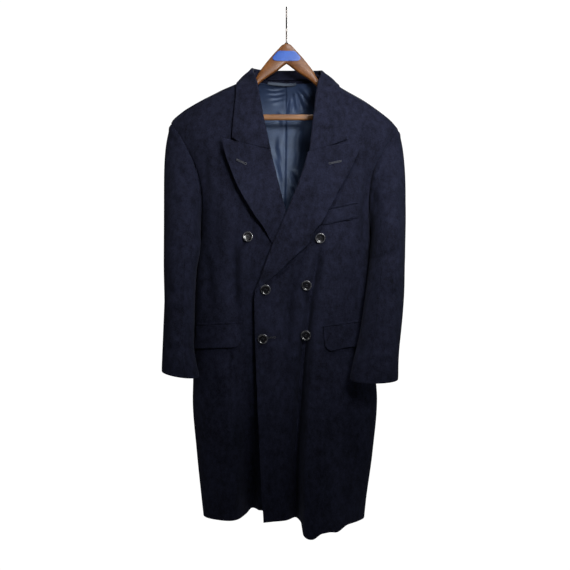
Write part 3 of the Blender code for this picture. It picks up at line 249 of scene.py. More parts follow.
# Sleeves: line of (degrees round from the top by way of the front, height).
SLEEVE_CREASES = {
    -1: ((((28, -338), (66, -372), (96, -398)), 11, 3.6, 2.0),
         (((24, -395), (62, -432), (100, -470)), 12, 4.2, 2.4),
         (((30, -470), (70, -505), (104, -520)), 13, 3.2, 2.0),
         (((50, -590), (86, -606), (116, -600)), 13, 2.4, 1.6),
         (((40, -700), (80, -716), (118, -704)), 13, 2.6, 1.8),
         (((60, -742), (96, -756), (130, -742)), 12, 2.2, 1.6),
         (((36, -836), (74, -846), (110, -840)), 12, 1.8, 1.2),
         (((206, -560), (250, -590), (300, -586)), 14, 3.2, 2.0),
         (((200, -700), (246, -690), (300, -712)), 13, 3.6, 2.2),
         (((204, -748), (250, -744), (296, -760)), 13, 2.8, 1.8),
         (((250, -420), (290, -450), (320, -470)), 14, 3.0, 1.8)),
    1: ((((34, -372), (70, -388), (100, -414)), 12, 3.6, 2.2),
        (((28, -425), (64, -432), (96, -456)), 12, 3.8, 2.4),
        (((34, -486), (70, -490), (100, -514)), 13, 2.6, 1.8),
        (((46, -600), (84, -622), (118, -616)), 13, 2.4, 1.6),
        (((44, -706), (82, -722), (120, -708)), 13, 2.8, 1.8),
        (((50, -862), (78, -872), (100, -880)), 9, 2.2, 1.4),
        (((46, -838), (80, -846), (116, -842)), 11, 1.6, 1.0),
        (((206, -570), (250, -596), (300, -590)), 14, 3.2, 2.0),
        (((200, -706), (246, -696), (300, -716)), 13, 3.6, 2.2),
        (((204, -752), (250, -748), (296, -766)), 13, 2.8, 1.8),
        (((250, -430), (290, -458), (320, -476)), 14, 3.0, 1.8)),
}
LINING_CREASES = (
    (((-60, -186), (-34, -190), (-4, -187)), 4, 4.6, 2.6),
    (((-58, -199), (-30, -201), (4, -196)), 4, 4.4, 2.6),
    (((-54, -212), (-24, -212), (6, -204)), 4.5, 4.2, 2.4),
    (((-44, -226), (-20, -222), (4, -212)), 5, 2.6, 1.6),
    (((28, -188), (44, -206), (64, -234)), 4.5, 5.0, 3.4),
    (((22, -190), (34, -214), (46, -250)), 5, 4.0, 2.6),
    (((16, -194), (18, -220), (22, -254)), 5, 2.8, 2.0),
    (((12, -206), (4, -232), (-2, -262)), 4, 2.8, 2.0),
    (((-30, -244), (-22, -262), (-18, -290)), 6, 2.2, 1.6),
    (((40, -262), (30, -320), (26, -390)), 9, 3.6, 2.6),
    (((-26, -300), (-30, -340), (-16, -400)), 7, 3.0, 2.2),
    (((54, -300), (34, -360), (14, -420)), 7, 3.6, 2.6),
    (((6, -392), (22, -424), (40, -462)), 5, 4.2, 2.8),
    (((10, -436), (22, -458), (36, -480)), 4.5, 3.6, 2.4),
    (((-40, -350), (-26, -390), (-12, -440)), 6, 2.6, 1.8),
    (((-120, -560), (-60, -580), (40, -570)), 12, 3.0, 2.0),
    (((60, -700), (120, -690), (150, -720)), 12, 3.0, 2.0),
    (((-130, -860), (-80, -880), (-30, -870)), 12, 3.0, 2.0),
)


# ---------------------------------------------------------------- small maths
def curve(table, column, key):
    """Smooth curve through a short table that never overshoots its rows."""
    xs = np.asarray(table[key], float)
    ys = np.asarray(table[column], float)
    order = np.argsort(xs)
    xs, ys = xs[order], ys[order]
    h = np.diff(xs)
    d = np.diff(ys) / h
    m = np.zeros_like(ys)
    m[0], m[-1] = d[0], d[-1]
    for i in range(1, len(xs) - 1):
        if d[i - 1] * d[i] > 0:
            w1, w2 = 2 * h[i] + h[i - 1], h[i] + 2 * h[i - 1]
            m[i] = (w1 + w2) / (w1 / d[i - 1] + w2 / d[i])

    def at(q):
        q = np.clip(np.asarray(q, float), xs[0], xs[-1])
        i = np.clip(np.searchsorted(xs, q, side="right") - 1, 0, len(h) - 1)
        t = (q - xs[i]) / h[i]
        return ((1 + 2 * t) * (1 - t) ** 2 * ys[i] + t * (1 - t) ** 2 * h[i] * m[i]
                + t * t * (3 - 2 * t) * ys[i + 1] + t * t * (t - 1) * h[i] * m[i + 1])
    return at


def ease(t):
    t = np.clip(t, 0.0, 1.0)
    return t * t * (3 - 2 * t)


def unit(v):
    return v / np.maximum(np.linalg.norm(v, axis=-1, keepdims=True), 1e-9)


def crease(x, z, line, reach, depth, lip, fade=0.4):
    """Height of one soft crease over its surroundings: a trough along the line with a ridge on its left side."""
    pts = np.asarray(line, float)
    x, z = np.asarray(x, float), np.asarray(z, float)
    best, side, along = np.full(x.shape, 1e9), np.zeros(x.shape), np.zeros(x.shape)
    seg = np.hypot(*np.diff(pts, axis=0).T)
    run = 0.0
    for a, b, l in zip(pts[:-1], pts[1:], seg):
        d = (b - a) / l
        t = np.clip((x - a[0]) * d[0] + (z - a[1]) * d[1], 0, l)
        dx, dz = x - a[0] - t * d[0], z - a[1] - t * d[1]
        r = np.hypot(dx, dz)
        near = r < best
        side = np.where(near, np.sign(d[0] * dz - d[1] * dx) * r, side)
        along = np.where(near, (run + t) / seg.sum(), along)
        best = np.where(near, r, best)
        run += l
    ends = ease(along / fade) * ease((1 - along) / fade)
    return ends * (lip * np.exp(-((side - 1.7 * reach) / (1.2 * reach)) ** 2) - depth * np.exp(-(side / reach) ** 2))


def creases(x, z, rows):
    return sum(crease(x, z, *row) for row in rows)


def drift(x, z, seed):
    """Uneven hang of heavy cloth: slow waves, the same at each run."""
    a, b, c = 1.3 + seed, 0.4 + 2.1 * seed, 2.2 + 0.7 * seed
    return (0.9 * np.sin(x / 41 + a) * np.sin(z / 97 + b) + 0.6 * np.sin(x / 23 + z / 71 + c)
            + 0.45 * np.sin(z / 37 - x / 61 + b) + 0.3 * np.sin(x / 13 + 0.6 * np.sin(z / 29 + a)))


W_LEFT, W_RIGHT = curve(RINGS, "left", "z"), curve(RINGS, "right", "z")
D_FRONT, D_BACK = curve(RINGS, "front", "z"), curve(RINGS, "back", "z")
RIDGE_Z = curve(RIDGE, "z", "x")
OVER_X, UNDER_X = curve(OVER_EDGE, "x", "z"), curve(UNDER_EDGE, "x", "z")
STEP = {c: curve(RIGHT_STEP, c, "z") for c in ("x", "reach", "depth")}
MIDT = {c: curve(CENTRE_TROUGH, c, "z") for c in ("x", "reach", "depth")}
GROOVE = {c: curve(RIGHT_TROUGH, c, "z") for c in ("x", "reach", "depth")}
LEFTT = {c: curve(LEFT_TROUGH, c, "z") for c in ("x", "reach", "depth")}
ARM_X = {s: curve(ARMHOLE[s], "x", "f") for s in (-1, 1)}
ARM_Z = {s: curve(ARMHOLE[s], "z", "f") for s in (-1, 1)}


# ---------------------------------------------------------------- the coat's form
def half_width(x, z):
    return np.where(np.asarray(x) < 0, W_LEFT(z), W_RIGHT(z))


def ring_share(x, z):
    r = np.clip(np.abs(x) / half_width(x, z), 0, 1)
    drop = np.clip((RIDGE_Z(x) - z) / SHOULDER_DROP, 0, 1)
    return (1 - r ** ROUND) ** (1 / ROUND) * np.sqrt(np.clip(1 - (1 - drop) ** 2, 0, 1))


def over_folds(x, z):
    w = half_width(x, z)
    ahead = (x - STEP["x"](z)) / STEP["reach"](z)
    fade = ease((w - x) / (w - STEP["x"](z) - STEP["reach"](z)))
    step = STEP["depth"](z) * (ease(ahead) * np.where(x > 0, fade, 1) - 0.16 * np.exp(-((ahead + 0.25) / 0.6) ** 2))
    mid = MIDT["depth"](z) * np.exp(-((x - MIDT["x"](z)) / MIDT["reach"](z)) ** 2)
    return step - mid


def over_y(x, z):
    return -D_FRONT(z) * ring_share(x, z) - over_folds(x, z)


def under_y(x, z):
    edge = OVER_X(z)
    dip = OVERLAP_DIP * ease((x - (edge - 62)) / 62)
    t = (x - LEFTT["x"](z)) / LEFTT["reach"](z)
    shape = np.exp(-t * t)
    shape = np.where(t > 0, np.maximum(shape, 0.72 - 0.34 * ease((x - LEFTT["x"](z)) / 120)), shape)
    w = half_width(x, z)
    side = ease((w - np.abs(x)) / 60)
    return over_y(x, z) + dip + LEFTT["depth"](z) * shape * np.where(x < 0, side, 1)


def back_y(x, z):
    low = ease((BACK_FOLD_TOP - z) / (BACK_FOLD_TOP + 1266))
    folds = sum(d * np.exp(-((x - c) / r) ** 2) for c, r, d in zip(*(BACK_FOLDS[k] for k in ("x", "reach", "depth"))))
    side = ease((half_width(x, z) - np.abs(x)) / 50)
    return D_BACK(z) * ring_share(x, z) + folds * low * side


def calm(x, z):
    """1 on the open panel, 0 at the side seams and the shoulder."""
    return ease((half_width(x, z) - np.abs(x)) / 26) * ease((RIDGE_Z(x) - z) / 60)


def over_s(x, z):
    """The over front with its creases."""
    t = (x - GROOVE["x"](z) - 2.5) / (1.35 * GROOVE["reach"](z))
    groove = 1.75 * GROOVE["depth"](z) * np.exp(-t * t)
    return over_y(x, z) + groove - (1.35 * creases(x, z, OVER_CREASES) + 1.1 * drift(x, z, 0.0)) * calm(x, z)


def under_s(x, z):
    return under_y(x, z) - (1.35 * creases(x, z, UNDER_CREASES) + 1.1 * drift(x, z, 1.0)) * calm(x, z)


def over_soft(x, z):
    """The over front without its narrow creases, for what is laid on it."""
    return over_y(x, z) - 1.1 * drift(x, z, 0.0) * calm(x, z)


def under_soft(x, z):
    return under_y(x, z) - 1.1 * drift(x, z, 1.0) * calm(x, z)


def back_s(x, z):
    return back_y(x, z) + (1.3 * creases(x, z, BACK_CREASES) + 1.3 * drift(x, z, 2.0)) * calm(x, z)


def lifted(surface, x, z, off, sign=-1):
    e = 0.5
    gx = (surface(x + e, z) - surface(x - e, z)) / (2 * e)
    gz = (surface(x, z + e) - surface(x, z - e)) / (2 * e)
    n = unit(np.stack([-sign * gx, sign * np.ones_like(gx), -sign * gz], -1))
    return np.stack([x, surface(x, z), z], -1) + np.asarray(off)[..., None] * n, n


def ridge_normal(x):
    """Across the thickness along the shoulder seam, for front and back alike."""
    slope = (RIDGE_Z(x + 1.0) - RIDGE_Z(x - 1.0)) / 2.0
    return unit(np.stack([-slope, 0 * slope, 1 + 0 * slope], -1))


def seam_normal(side, a):
    """Across the thickness along the armhole seam, for body and sleeve alike. a: radians round, from the top by the front."""
    a = np.asarray(a, float)
    f = np.where(a <= math.pi, a, 2 * math.pi - a) / math.pi
    x, z = ARM_X[side](f), ARM_Z[side](f) - 1.0
    x = x - side * 0.4
    front = lifted(over_y if side > 0 else under_y, x, z, 0 * x)[1]
    back = lifted(back_y, x, z, 0 * x, 1)[1]
    panel = np.where((a <= math.pi)[..., None], front, back)
    top = ease(1 - f / 0.10)[..., None]
    panel = unit(panel * (1 - top) + ridge_normal(x) * top)
    low = ease((f - 0.55) / 0.4)[..., None]
    return unit((1 - low) * unit(panel + np.array([0.7 * side, 0, 0.1])) + low * np.array([0, 0, -1.0]))


# ---------------------------------------------------------------- meshes
def grid_normals(p, toward):
    n = unit(np.cross(np.gradient(p, axis=0), np.gradient(p, axis=1)))
    return n if np.sum(n * toward) > 0 else -n


def to_object(name, verts, faces, mats, index=None):
    mesh = bpy.data.meshes.new(name)
    mesh.from_pydata((np.asarray(verts) * MM).tolist(), [], faces)
    mesh.polygons.foreach_set("use_smooth", np.ones(len(mesh.polygons), bool))
    for m in mats:
        mesh.materials.append(m)
    if index is not None:
        mesh.polygons.foreach_set("material_index", np.asarray(index, np.int32))
    mesh.update()
    obj = bpy.data.objects.new(name, mesh)
    bpy.context.scene.collection.objects.link(obj)
    return obj


def edge_distance(p):
    """Distance of each grid point from the nearest border, along the grid."""
    rows, cols = p.shape[:2]
    a = np.concatenate([np.zeros((1, cols)), np.cumsum(np.linalg.norm(np.diff(p, axis=0), axis=-1), 0)])
    c = np.concatenate([np.zeros((rows, 1)), np.cumsum(np.linalg.norm(np.diff(p, axis=1), axis=-1), 1)], 1)
    return a, a[-1:] - a, c, c[:, -1:] - c


def shell(name, outer, normals, thick, mats, inner=None, edge=None):
    """Closed cloth shell with turned, rounded edges. inner: for each grid cell, whether its hidden face is lining."""
    rows, cols = outer.shape[:2]
    dist = np.minimum.reduce(edge_distance(outer))
    thick = np.broadcast_to(np.asarray(thick, float), (rows, cols))
    rho = thick / 2
    k = np.clip(1 - dist / (edge or rho), 0, 1)
    dip = rho * (1 - np.sqrt(1 - k * k))
    top = outer - normals * dip[..., None]
    low = outer - normals * (thick - dip)[..., None]
    number = np.arange(rows * cols).reshape(rows, cols)
    under = number.copy()
    under[1:-1, 1:-1] = rows * cols + np.arange((rows - 2) * (cols - 2)).reshape(rows - 2, cols - 2)
    verts = np.concatenate([top.reshape(-1, 3), low[1:-1, 1:-1].reshape(-1, 3)])
    q = lambda g: np.stack([g[:-1, :-1], g[:-1, 1:], g[1:, 1:], g[1:, :-1]], -1).reshape(-1, 4)
    a, b = q(number), q(under)
    mid = (rows // 2 - 1) * (cols - 1) + cols // 2
    v = verts[a[mid]]
    turned = np.dot(np.cross(v[1] - v[0], v[2] - v[0]), normals.reshape(-1, 3)[a[mid, 0]]) < 0
    a, b = (a[:, ::-1], b) if turned else (a, b[:, ::-1])
    index = np.zeros(len(a) + len(b), int)
    if inner is not None:
        index[len(a):] = np.asarray(inner, int).reshape(-1)
    return to_object(name, verts, np.concatenate([a, b]).tolist(), mats, index)


def spaced(marks, counts, first=0.0, last=0.0, tight=3):
    """Values through the marks, cut into counts of steps, with a few close ones at each end for the rounded edge."""
    v = np.concatenate([np.linspace(a, b, n, endpoint=False) for a, b, n in zip(marks, marks[1:], counts)] + [[marks[-1]]])
    if first:
        v = np.concatenate([[v[0]], v[0] + first * np.array([0.18, 0.55, 1.1])[:tight], v[v > v[0] + 1.5 * first]])
    if last:
        v = np.concatenate([v[v < v[-1] - 1.5 * last], v[-1] - last * np.array([1.1, 0.55, 0.18])[-tight:], [v[-1]]])
    return v


# ---------------------------------------------------------------- fronts and back
def panel_rows(side, hem, centre_z, centre_x, guides, parts, rows, cols):
    """(x, z) of a body panel's grid at fine rows (0 hem, 11 underarm, 20 shoulder) and fine columns."""
    under = ARMHOLE[side]["z"][-1]
    hem_z = curve(hem, "z", "x")
    hem_side = float(hem_z(side * 300))
    share_at = curve(dict(s=np.arange(12), v=SIDE_ROWS), "v", "s")
    f_at = curve(dict(s=np.arange(11, 21), v=ARM_ROWS), "v", "s")
    zc_at = curve(dict(s=np.arange(21), v=centre_z), "v", "s")
    cum = np.concatenate([[0], np.cumsum(parts)])
    xs, xn = float(ARMHOLE[side]["x"][0]), float(centre_x(centre_z[-1]))
    out = []
    for s in rows:
        zc = float(zc_at(s))
        xc = float(centre_x(zc))
        if s <= 11:
            z_end = hem_side + (under - hem_side) * float(share_at(s))
            r_end = float(side)
        else:
            f = float(f_at(s))
            z_end = float(ARM_Z[side](f))
            r_end = float(ARM_X[side](f)) / float(half_width(side, z_end))
        r_start = xc / float(half_width(xc, zc))
        t = np.linspace(0, 1, 500)
        r = r_start + (r_end - r_start) * (1 - (1 - t) ** ROUND)
        z0 = zc + (z_end - zc) * t
        x0 = r * half_width(r, z0)
        y0 = -D_FRONT(z0) * ring_share(x0, np.minimum(z0, RIDGE_Z(x0) - 12.0))
        length = np.concatenate([[0], np.cumsum(np.hypot(np.diff(x0), np.diff(y0)))])
        share = length / length[-1]
        marks = [0.0] + [float(np.interp(side * g(zc), side * x0, share)) for g in guides] + [1.0]
        for k in range(1, len(marks) - 1):
            marks[k] = min(max(marks[k], marks[k - 1] + 0.05), 1 - 0.05 * (len(marks) - 1 - k) - 0.12)
        us = np.interp(cols, cum, marks)
        r = np.interp(us, share, r)
        z = zc + (z_end - zc) * us
        x = r * half_width(r, z)
        top = float(ease((s - 10) / 10.0)) if s > 10 else 0.0
        if top:
            line = np.interp(side * x, sorted((side * xn, side * xs)),
                             [float(RIDGE_Z(v)) for v in sorted((xn, xs), key=lambda v: side * v)])
            z = z + top * (RIDGE_Z(x) - line)
        if s < 5:
            z = z + (1 - s / 5.0) * (hem_z(x) - (zc + (z_end - zc) * us))
            x = r * half_width(r, z)
        if s > 19:
            z = z + (RIDGE_Z(x) - z) * (s - 19)
        if s > 11:
            pull = us ** 6
            x = x + (float(ARM_X[side](f)) - x[-1]) * pull
            z = z + (z_end - z[-1]) * pull
            if s > 14:
                x = side * np.minimum(side * x, side * float(ARM_X[side](f)) - 14.0 * (1 - us))
            if s < 20:
                z = np.minimum(z, RIDGE_Z(x) - (1.5 + 1.0 * (20 - s)) * ease(20.0 - s))
        out.append(np.stack([x, z], -1))
    return np.array(out)


def top_dense(rows):
    """Rows close to the shoulder ridge, where the cloth turns over."""
    keep = rows[rows < 19]
    return np.concatenate([keep, 20 - np.linspace(1, 0, 16) ** 2])


def edge_normals(n, side, rows, front):
    """Down the last column the panel meets the side seam's other half and the sleeve."""
    f = curve(dict(s=np.arange(11, 21), v=ARM_ROWS), "v", "s")(rows)
    a = math.pi * f if front else 2 * math.pi - math.pi * f
    arm = rows >= 11
    n[arm, -1] = seam_normal(side, a[arm])
    n[~arm, -1] = np.array([side, 0.0, 0.0])


def sewn_in(p, n, rows):
    """Draws the cloth in a little along the armhole seam."""
    far = edge_distance(p)[3]
    return p - n * (1.6 * np.exp(-(far / 3.4) ** 2) * (ease((rows - 11.3) / 0.8) - ease((rows - 15.2) / 1.6))[:, None])[..., None]


def front_grid(side, surface, edge, hem, guides, parts, fine=()):
    # above the break the cut edge lies back under the lapel's roll
    centre = lambda z: edge(z) + side * 6.0 * ease((np.asarray(z, float) + 690) / 40)
    rows = top_dense(spaced([0, 11, 20], [104, 66], first=0.03))
    rows = np.unique(np.concatenate([rows, fine]))
    cols = spaced([0, sum(parts)], [118], first=0.09, last=0.09)
    g = panel_rows(side, hem, FRONT_ROWS, centre, guides, parts, rows, cols)
    p = np.stack([g[..., 0], surface(g[..., 0], g[..., 1]), g[..., 1]], -1)
    n = lifted(surface, g[..., 0], g[..., 1], 0 * g[..., 0])[1]
    n[-1] = ridge_normal(p[-1, :, 0])
    edge_normals(n, side, rows, True)
    return sewn_in(p, n, rows), n


def hidden_lining(p, hem_band, edge_band):
    """Cells whose inner face is lining: away from the turned-up hem and the front facing."""
    low, high, near, far = edge_distance(p)
    inside = (low > hem_band) & (near > edge_band) & (far > 14) & (high > 14)
    return inside[:-1, :-1]


def make_front(side, mats):
    blend = lambda z: ease((z + 760) / 160)
    if side > 0:
        even = lambda z, k: OVER_X(z) + (W_RIGHT(z) - OVER_X(z)) * k
        guides = [lambda z: STEP["x"](z) * (1 - blend(z)) + even(z, 0.40) * blend(z),
                  lambda z: (STEP["x"](z) + STEP["reach"](z) * 1.05) * (1 - blend(z)) + even(z, 0.54) * blend(z)]
        p, n = front_grid(1, over_s, OVER_X, HEM_OVER, guides, [4, 3, 6], np.arange(11.75, 13.35, 0.036))
    else:
        even = lambda z, k: UNDER_X(z) - (W_LEFT(z) + UNDER_X(z)) * k
        guides = [lambda z: (LEFTT["x"](z) + 34) * (1 - blend(z)) + even(z, 0.30) * blend(z),
                  lambda z: LEFTT["x"](z) * (1 - blend(z)) + even(z, 0.42) * blend(z),
                  lambda z: (LEFTT["x"](z) - 42) * (1 - blend(z)) + even(z, 0.58) * blend(z)]
        p, n = front_grid(-1, under_s, UNDER_X, HEM_UNDER, guides, [3, 3, 3, 5])
    name = "cloth_front_left" if side > 0 else "cloth_front_right"
    return shell(name, p, n, CLOTH, mats, hidden_lining(p, 50, 110))


def make_back(side, mats):
    gap = 1e-4 * side
    rows = top_dense(spaced([0, 10, 20], [84, 70], first=0.03))
    fine = spaced([0, 10], [92], first=0.09, last=0.09)
    cols = np.interp(fine, np.arange(11), [0, 0.11, 0.22, 0.33, 0.44, 0.55, 0.66, 0.76, 0.85, 0.93, 1.0])
    centre = lambda z: gap + 0 * np.asarray(z, float)
    low = rows <= 10
    g = panel_rows(side, HEM_BACK, BACK_ROWS, centre, [], [10], np.concatenate([rows[low], [10.0]]), fine)
    base = g[-1]
    pts = list(g[:-1])
    shoulder_x = ARMHOLE[side]["x"][0]
    xs = np.interp(cols, [0, 0.33, 1.0], [gap, side * NECK_X, shoulder_x])
    seam = cols >= 0.33
    z_top = np.where(seam, RIDGE_Z(xs), -173.0 - 3.0 * (np.abs(xs) / NECK_X) ** 2)
    under = ARMHOLE[side]["z"][-1]
    hem_side = float(curve(HEM_BACK, "z", "x")(side * 300))
    f_at = curve(dict(s=np.arange(11, 21), v=ARM_ROWS), "v", "s")
    share_at = curve(dict(s=np.arange(12), v=SIDE_ROWS), "v", "s")
    for s in rows[~low]:
        k = (s - 10) / 10
        x = base[:, 0] + (xs - base[:, 0]) * k
        z = base[:, 1] + (z_top - base[:, 1]) * k
        if s > 11:
            ax, az = float(ARM_X[side](f_at(s))), float(ARM_Z[side](f_at(s)))
        else:
            az = hem_side + (under - hem_side) * float(share_at(s))
            ax = side * float(half_width(side, az))
        pull = cols ** 3
        x = x + (ax - x[-1]) * pull
        z = z + (az - z[-1]) * pull
        if s < 20:
            z = np.minimum(z, RIDGE_Z(x) - (1.5 + 10 * (1 - k)) * ease((20 - s) / 1.0))
        pts.append(np.stack([x, z], -1))
    g = np.array(pts)
    p = np.stack([g[..., 0], back_s(g[..., 0], g[..., 1]), g[..., 1]], -1)
    n = lifted(back_s, g[..., 0], g[..., 1], 0 * g[..., 0], 1)[1]
    n[-1, seam] = ridge_normal(p[-1, seam, 0])
    edge_normals(n, side, rows, False)
    n[:, 0, 0] = 0
    p = sewn_in(p, unit(n), rows)
    name = "cloth_back_left" if side > 0 else "cloth_back_right"
    return shell(name, p, unit(n), CLOTH, mats, hidden_lining(p, 50, -1))


# ---------------------------------------------------------------- lapels and collar
def rolled(face, first, n0, d0, radius, tail, steps=14):
    """Turns a sheet's first column round a soft roll: face points, then the bow, then `tail` points behind.

    face: grid from the roll outward; its first column starts at distance `radius` from the roll's outer line."""
    centre = first - n0 * radius[:, None]
    phi = np.linspace(math.pi, 0, steps)[None, :, None]
    bow = centre[:, None] + radius[:, None, None] * (n0[:, None] * np.cos(phi) - d0[:, None] * np.sin(phi))
    start = bow[:, 0]
    u = np.linspace(1, 0, 9)[None, :-1, None]
    reach = np.linalg.norm(tail - start, axis=-1)[:, None, None]
    h = ((2 * u ** 3 - 3 * u ** 2 + 1) * start[:, None] + (u ** 3 - 2 * u ** 2 + u) * d0[:, None] * reach
         + (3 * u ** 2 - 2 * u ** 3) * tail[:, None] + (u ** 3 - u ** 2) * (tail - start)[:, None])
    return np.concatenate([h, bow[:, :-1], face], axis=1)


def lapel_face(side, t, w):
    t, w = np.broadcast_arrays(t, w)
    z_roll = LAPEL_ROLL[side][0] + (LAPEL_ROLL[side][1] - LAPEL_ROLL[side][0]) * t
    x_roll = (OVER_X if side > 0 else UNDER_X)(z_roll) + side * 0.3
    ex, ez = curve(LAPEL_EDGE[side], "x", "t")(t), curve(LAPEL_EDGE[side], "z", "t")(t)
    x, z = x_roll + (ex - x_roll) * w, z_roll + (ez - z_roll) * w
    place, rise = NOTCH[side]
    bend = np.minimum(w / place, (1 - w) / (1 - place))
    z = z + rise * bend * np.clip(1 - t / 0.12, 0, 1)
    bloom = BLOOM[side] * w ** 2 * ease((1 - t) / 0.45)
    if side > 0:
        bloom = bloom + 4.5 * w ** 3 * ease((1 - t) / 0.12) * ease(t / 0.3)
    if side < 0:
        bloom = bloom * np.clip((OVER_X(z) - x - 8) / 60, 0, 1)
        lay = LAY_UNDER + 3.2 * np.clip((x - OVER_X(z)) / 30, 0, 1)
    else:
        lay = 1.2 + (LAY - 1.2) * ease((1 - t) / 0.10)
    # a lapel is not flat: it bows a little between roll and edge
    bow = 1.6 * np.sin(math.pi * np.clip(w, 0, 1)) * ease((1 - t) / 0.3) + 0.5 * np.sin(7 * t + 3 * w + side)
    return lifted(over_soft if side > 0 else under_soft, x, z, lay + bloom + bow * ease(w / 0.3))


def make_lapel(side, mats):
    t = spaced([0, 1], [150], first=0.006, last=0.006)
    first, n0 = lapel_face(side, t, np.zeros_like(t))
    ahead, _ = lapel_face(side, t, np.full_like(t, 0.02))
    d0 = ahead - first
    d0 = unit(d0 - n0 * np.sum(d0 * n0, -1, keepdims=True))
    edge, _ = lapel_face(side, t, np.ones_like(t))
    width = np.maximum(np.linalg.norm(edge - first, axis=-1), 1.0)
    radius = (4.3 if side > 0 else 5.2) * (0.22 + 0.78 * ease((1 - t) / 0.12))
    radius = np.minimum(radius, 0.45 * width)
    w = spaced([0, 1], [58], last=0.012)
    w0 = (radius / width)[:, None]
    tt, ww = np.broadcast_arrays(t[:, None], w0 + (1 - w0) * w[None, :])
    face, _ = lapel_face(side, tt, ww)
    tail = face[:, 0] - 2 * radius[:, None] * n0 + d0 * np.minimum(12.0, 0.8 * width)[:, None]
    p = rolled(face, face[:, 0], n0, d0, radius, tail)
    n = grid_normals(p, np.array([0, -1.0, 0]))
    thick = 2.3 * (0.5 + 0.5 * ease((1 - t) / 0.1))[:, None] + 0 * p[..., 0]
    thick = np.minimum(thick, 1.1 * radius[:, None])
    return shell("cloth_lapel_left" if side > 0 else "cloth_lapel_right", p, n, thick, mats)


def collar_lines(q):
    k = np.arange(len(COLLAR["side"]), dtype=float)
    fold, edge = [], []
    for i, s in enumerate(COLLAR["side"]):
        fx, fz, ex, ez = (np.array(float(COLLAR[c][i])) for c in ("fold_x", "fold_z", "edge_x", "edge_z"))
        face = over_y if fx > 0 else under_y
        fy = face(fx, fz) if s == "f" else np.array(float(COLLAR["fold_y"][i]))
        if s == "f":
            e = lifted(face, ex, ez, np.array(LAY + 1.0))[0]
        elif s == "b":
            e = lifted(back_y, ex, ez, np.array(LAY + 1.4), 1)[0]
        else:
            e = np.array([ex, 1.0, RIDGE_Z(ex) + LAY + 1.2])
        fold.append(np.array([fx, fy, fz], float))
        edge.append(e)
    return [np.stack([curve(dict(k=k, v=np.array(pts)[:, c]), "v", "k")(q) for c in range(3)], -1) for pts in (fold, edge)]


def outward(fold):
    tangent = np.gradient(fold, axis=0)
    n = unit(np.stack([tangent[:, 1], -tangent[:, 0], np.zeros(len(fold))], -1))
    flip = np.sum(n * (fold - np.array([0.0, 5.0, 0.0])) * np.array([1, 1, 0]), -1) < 0
    n[flip] *= -1
    return n


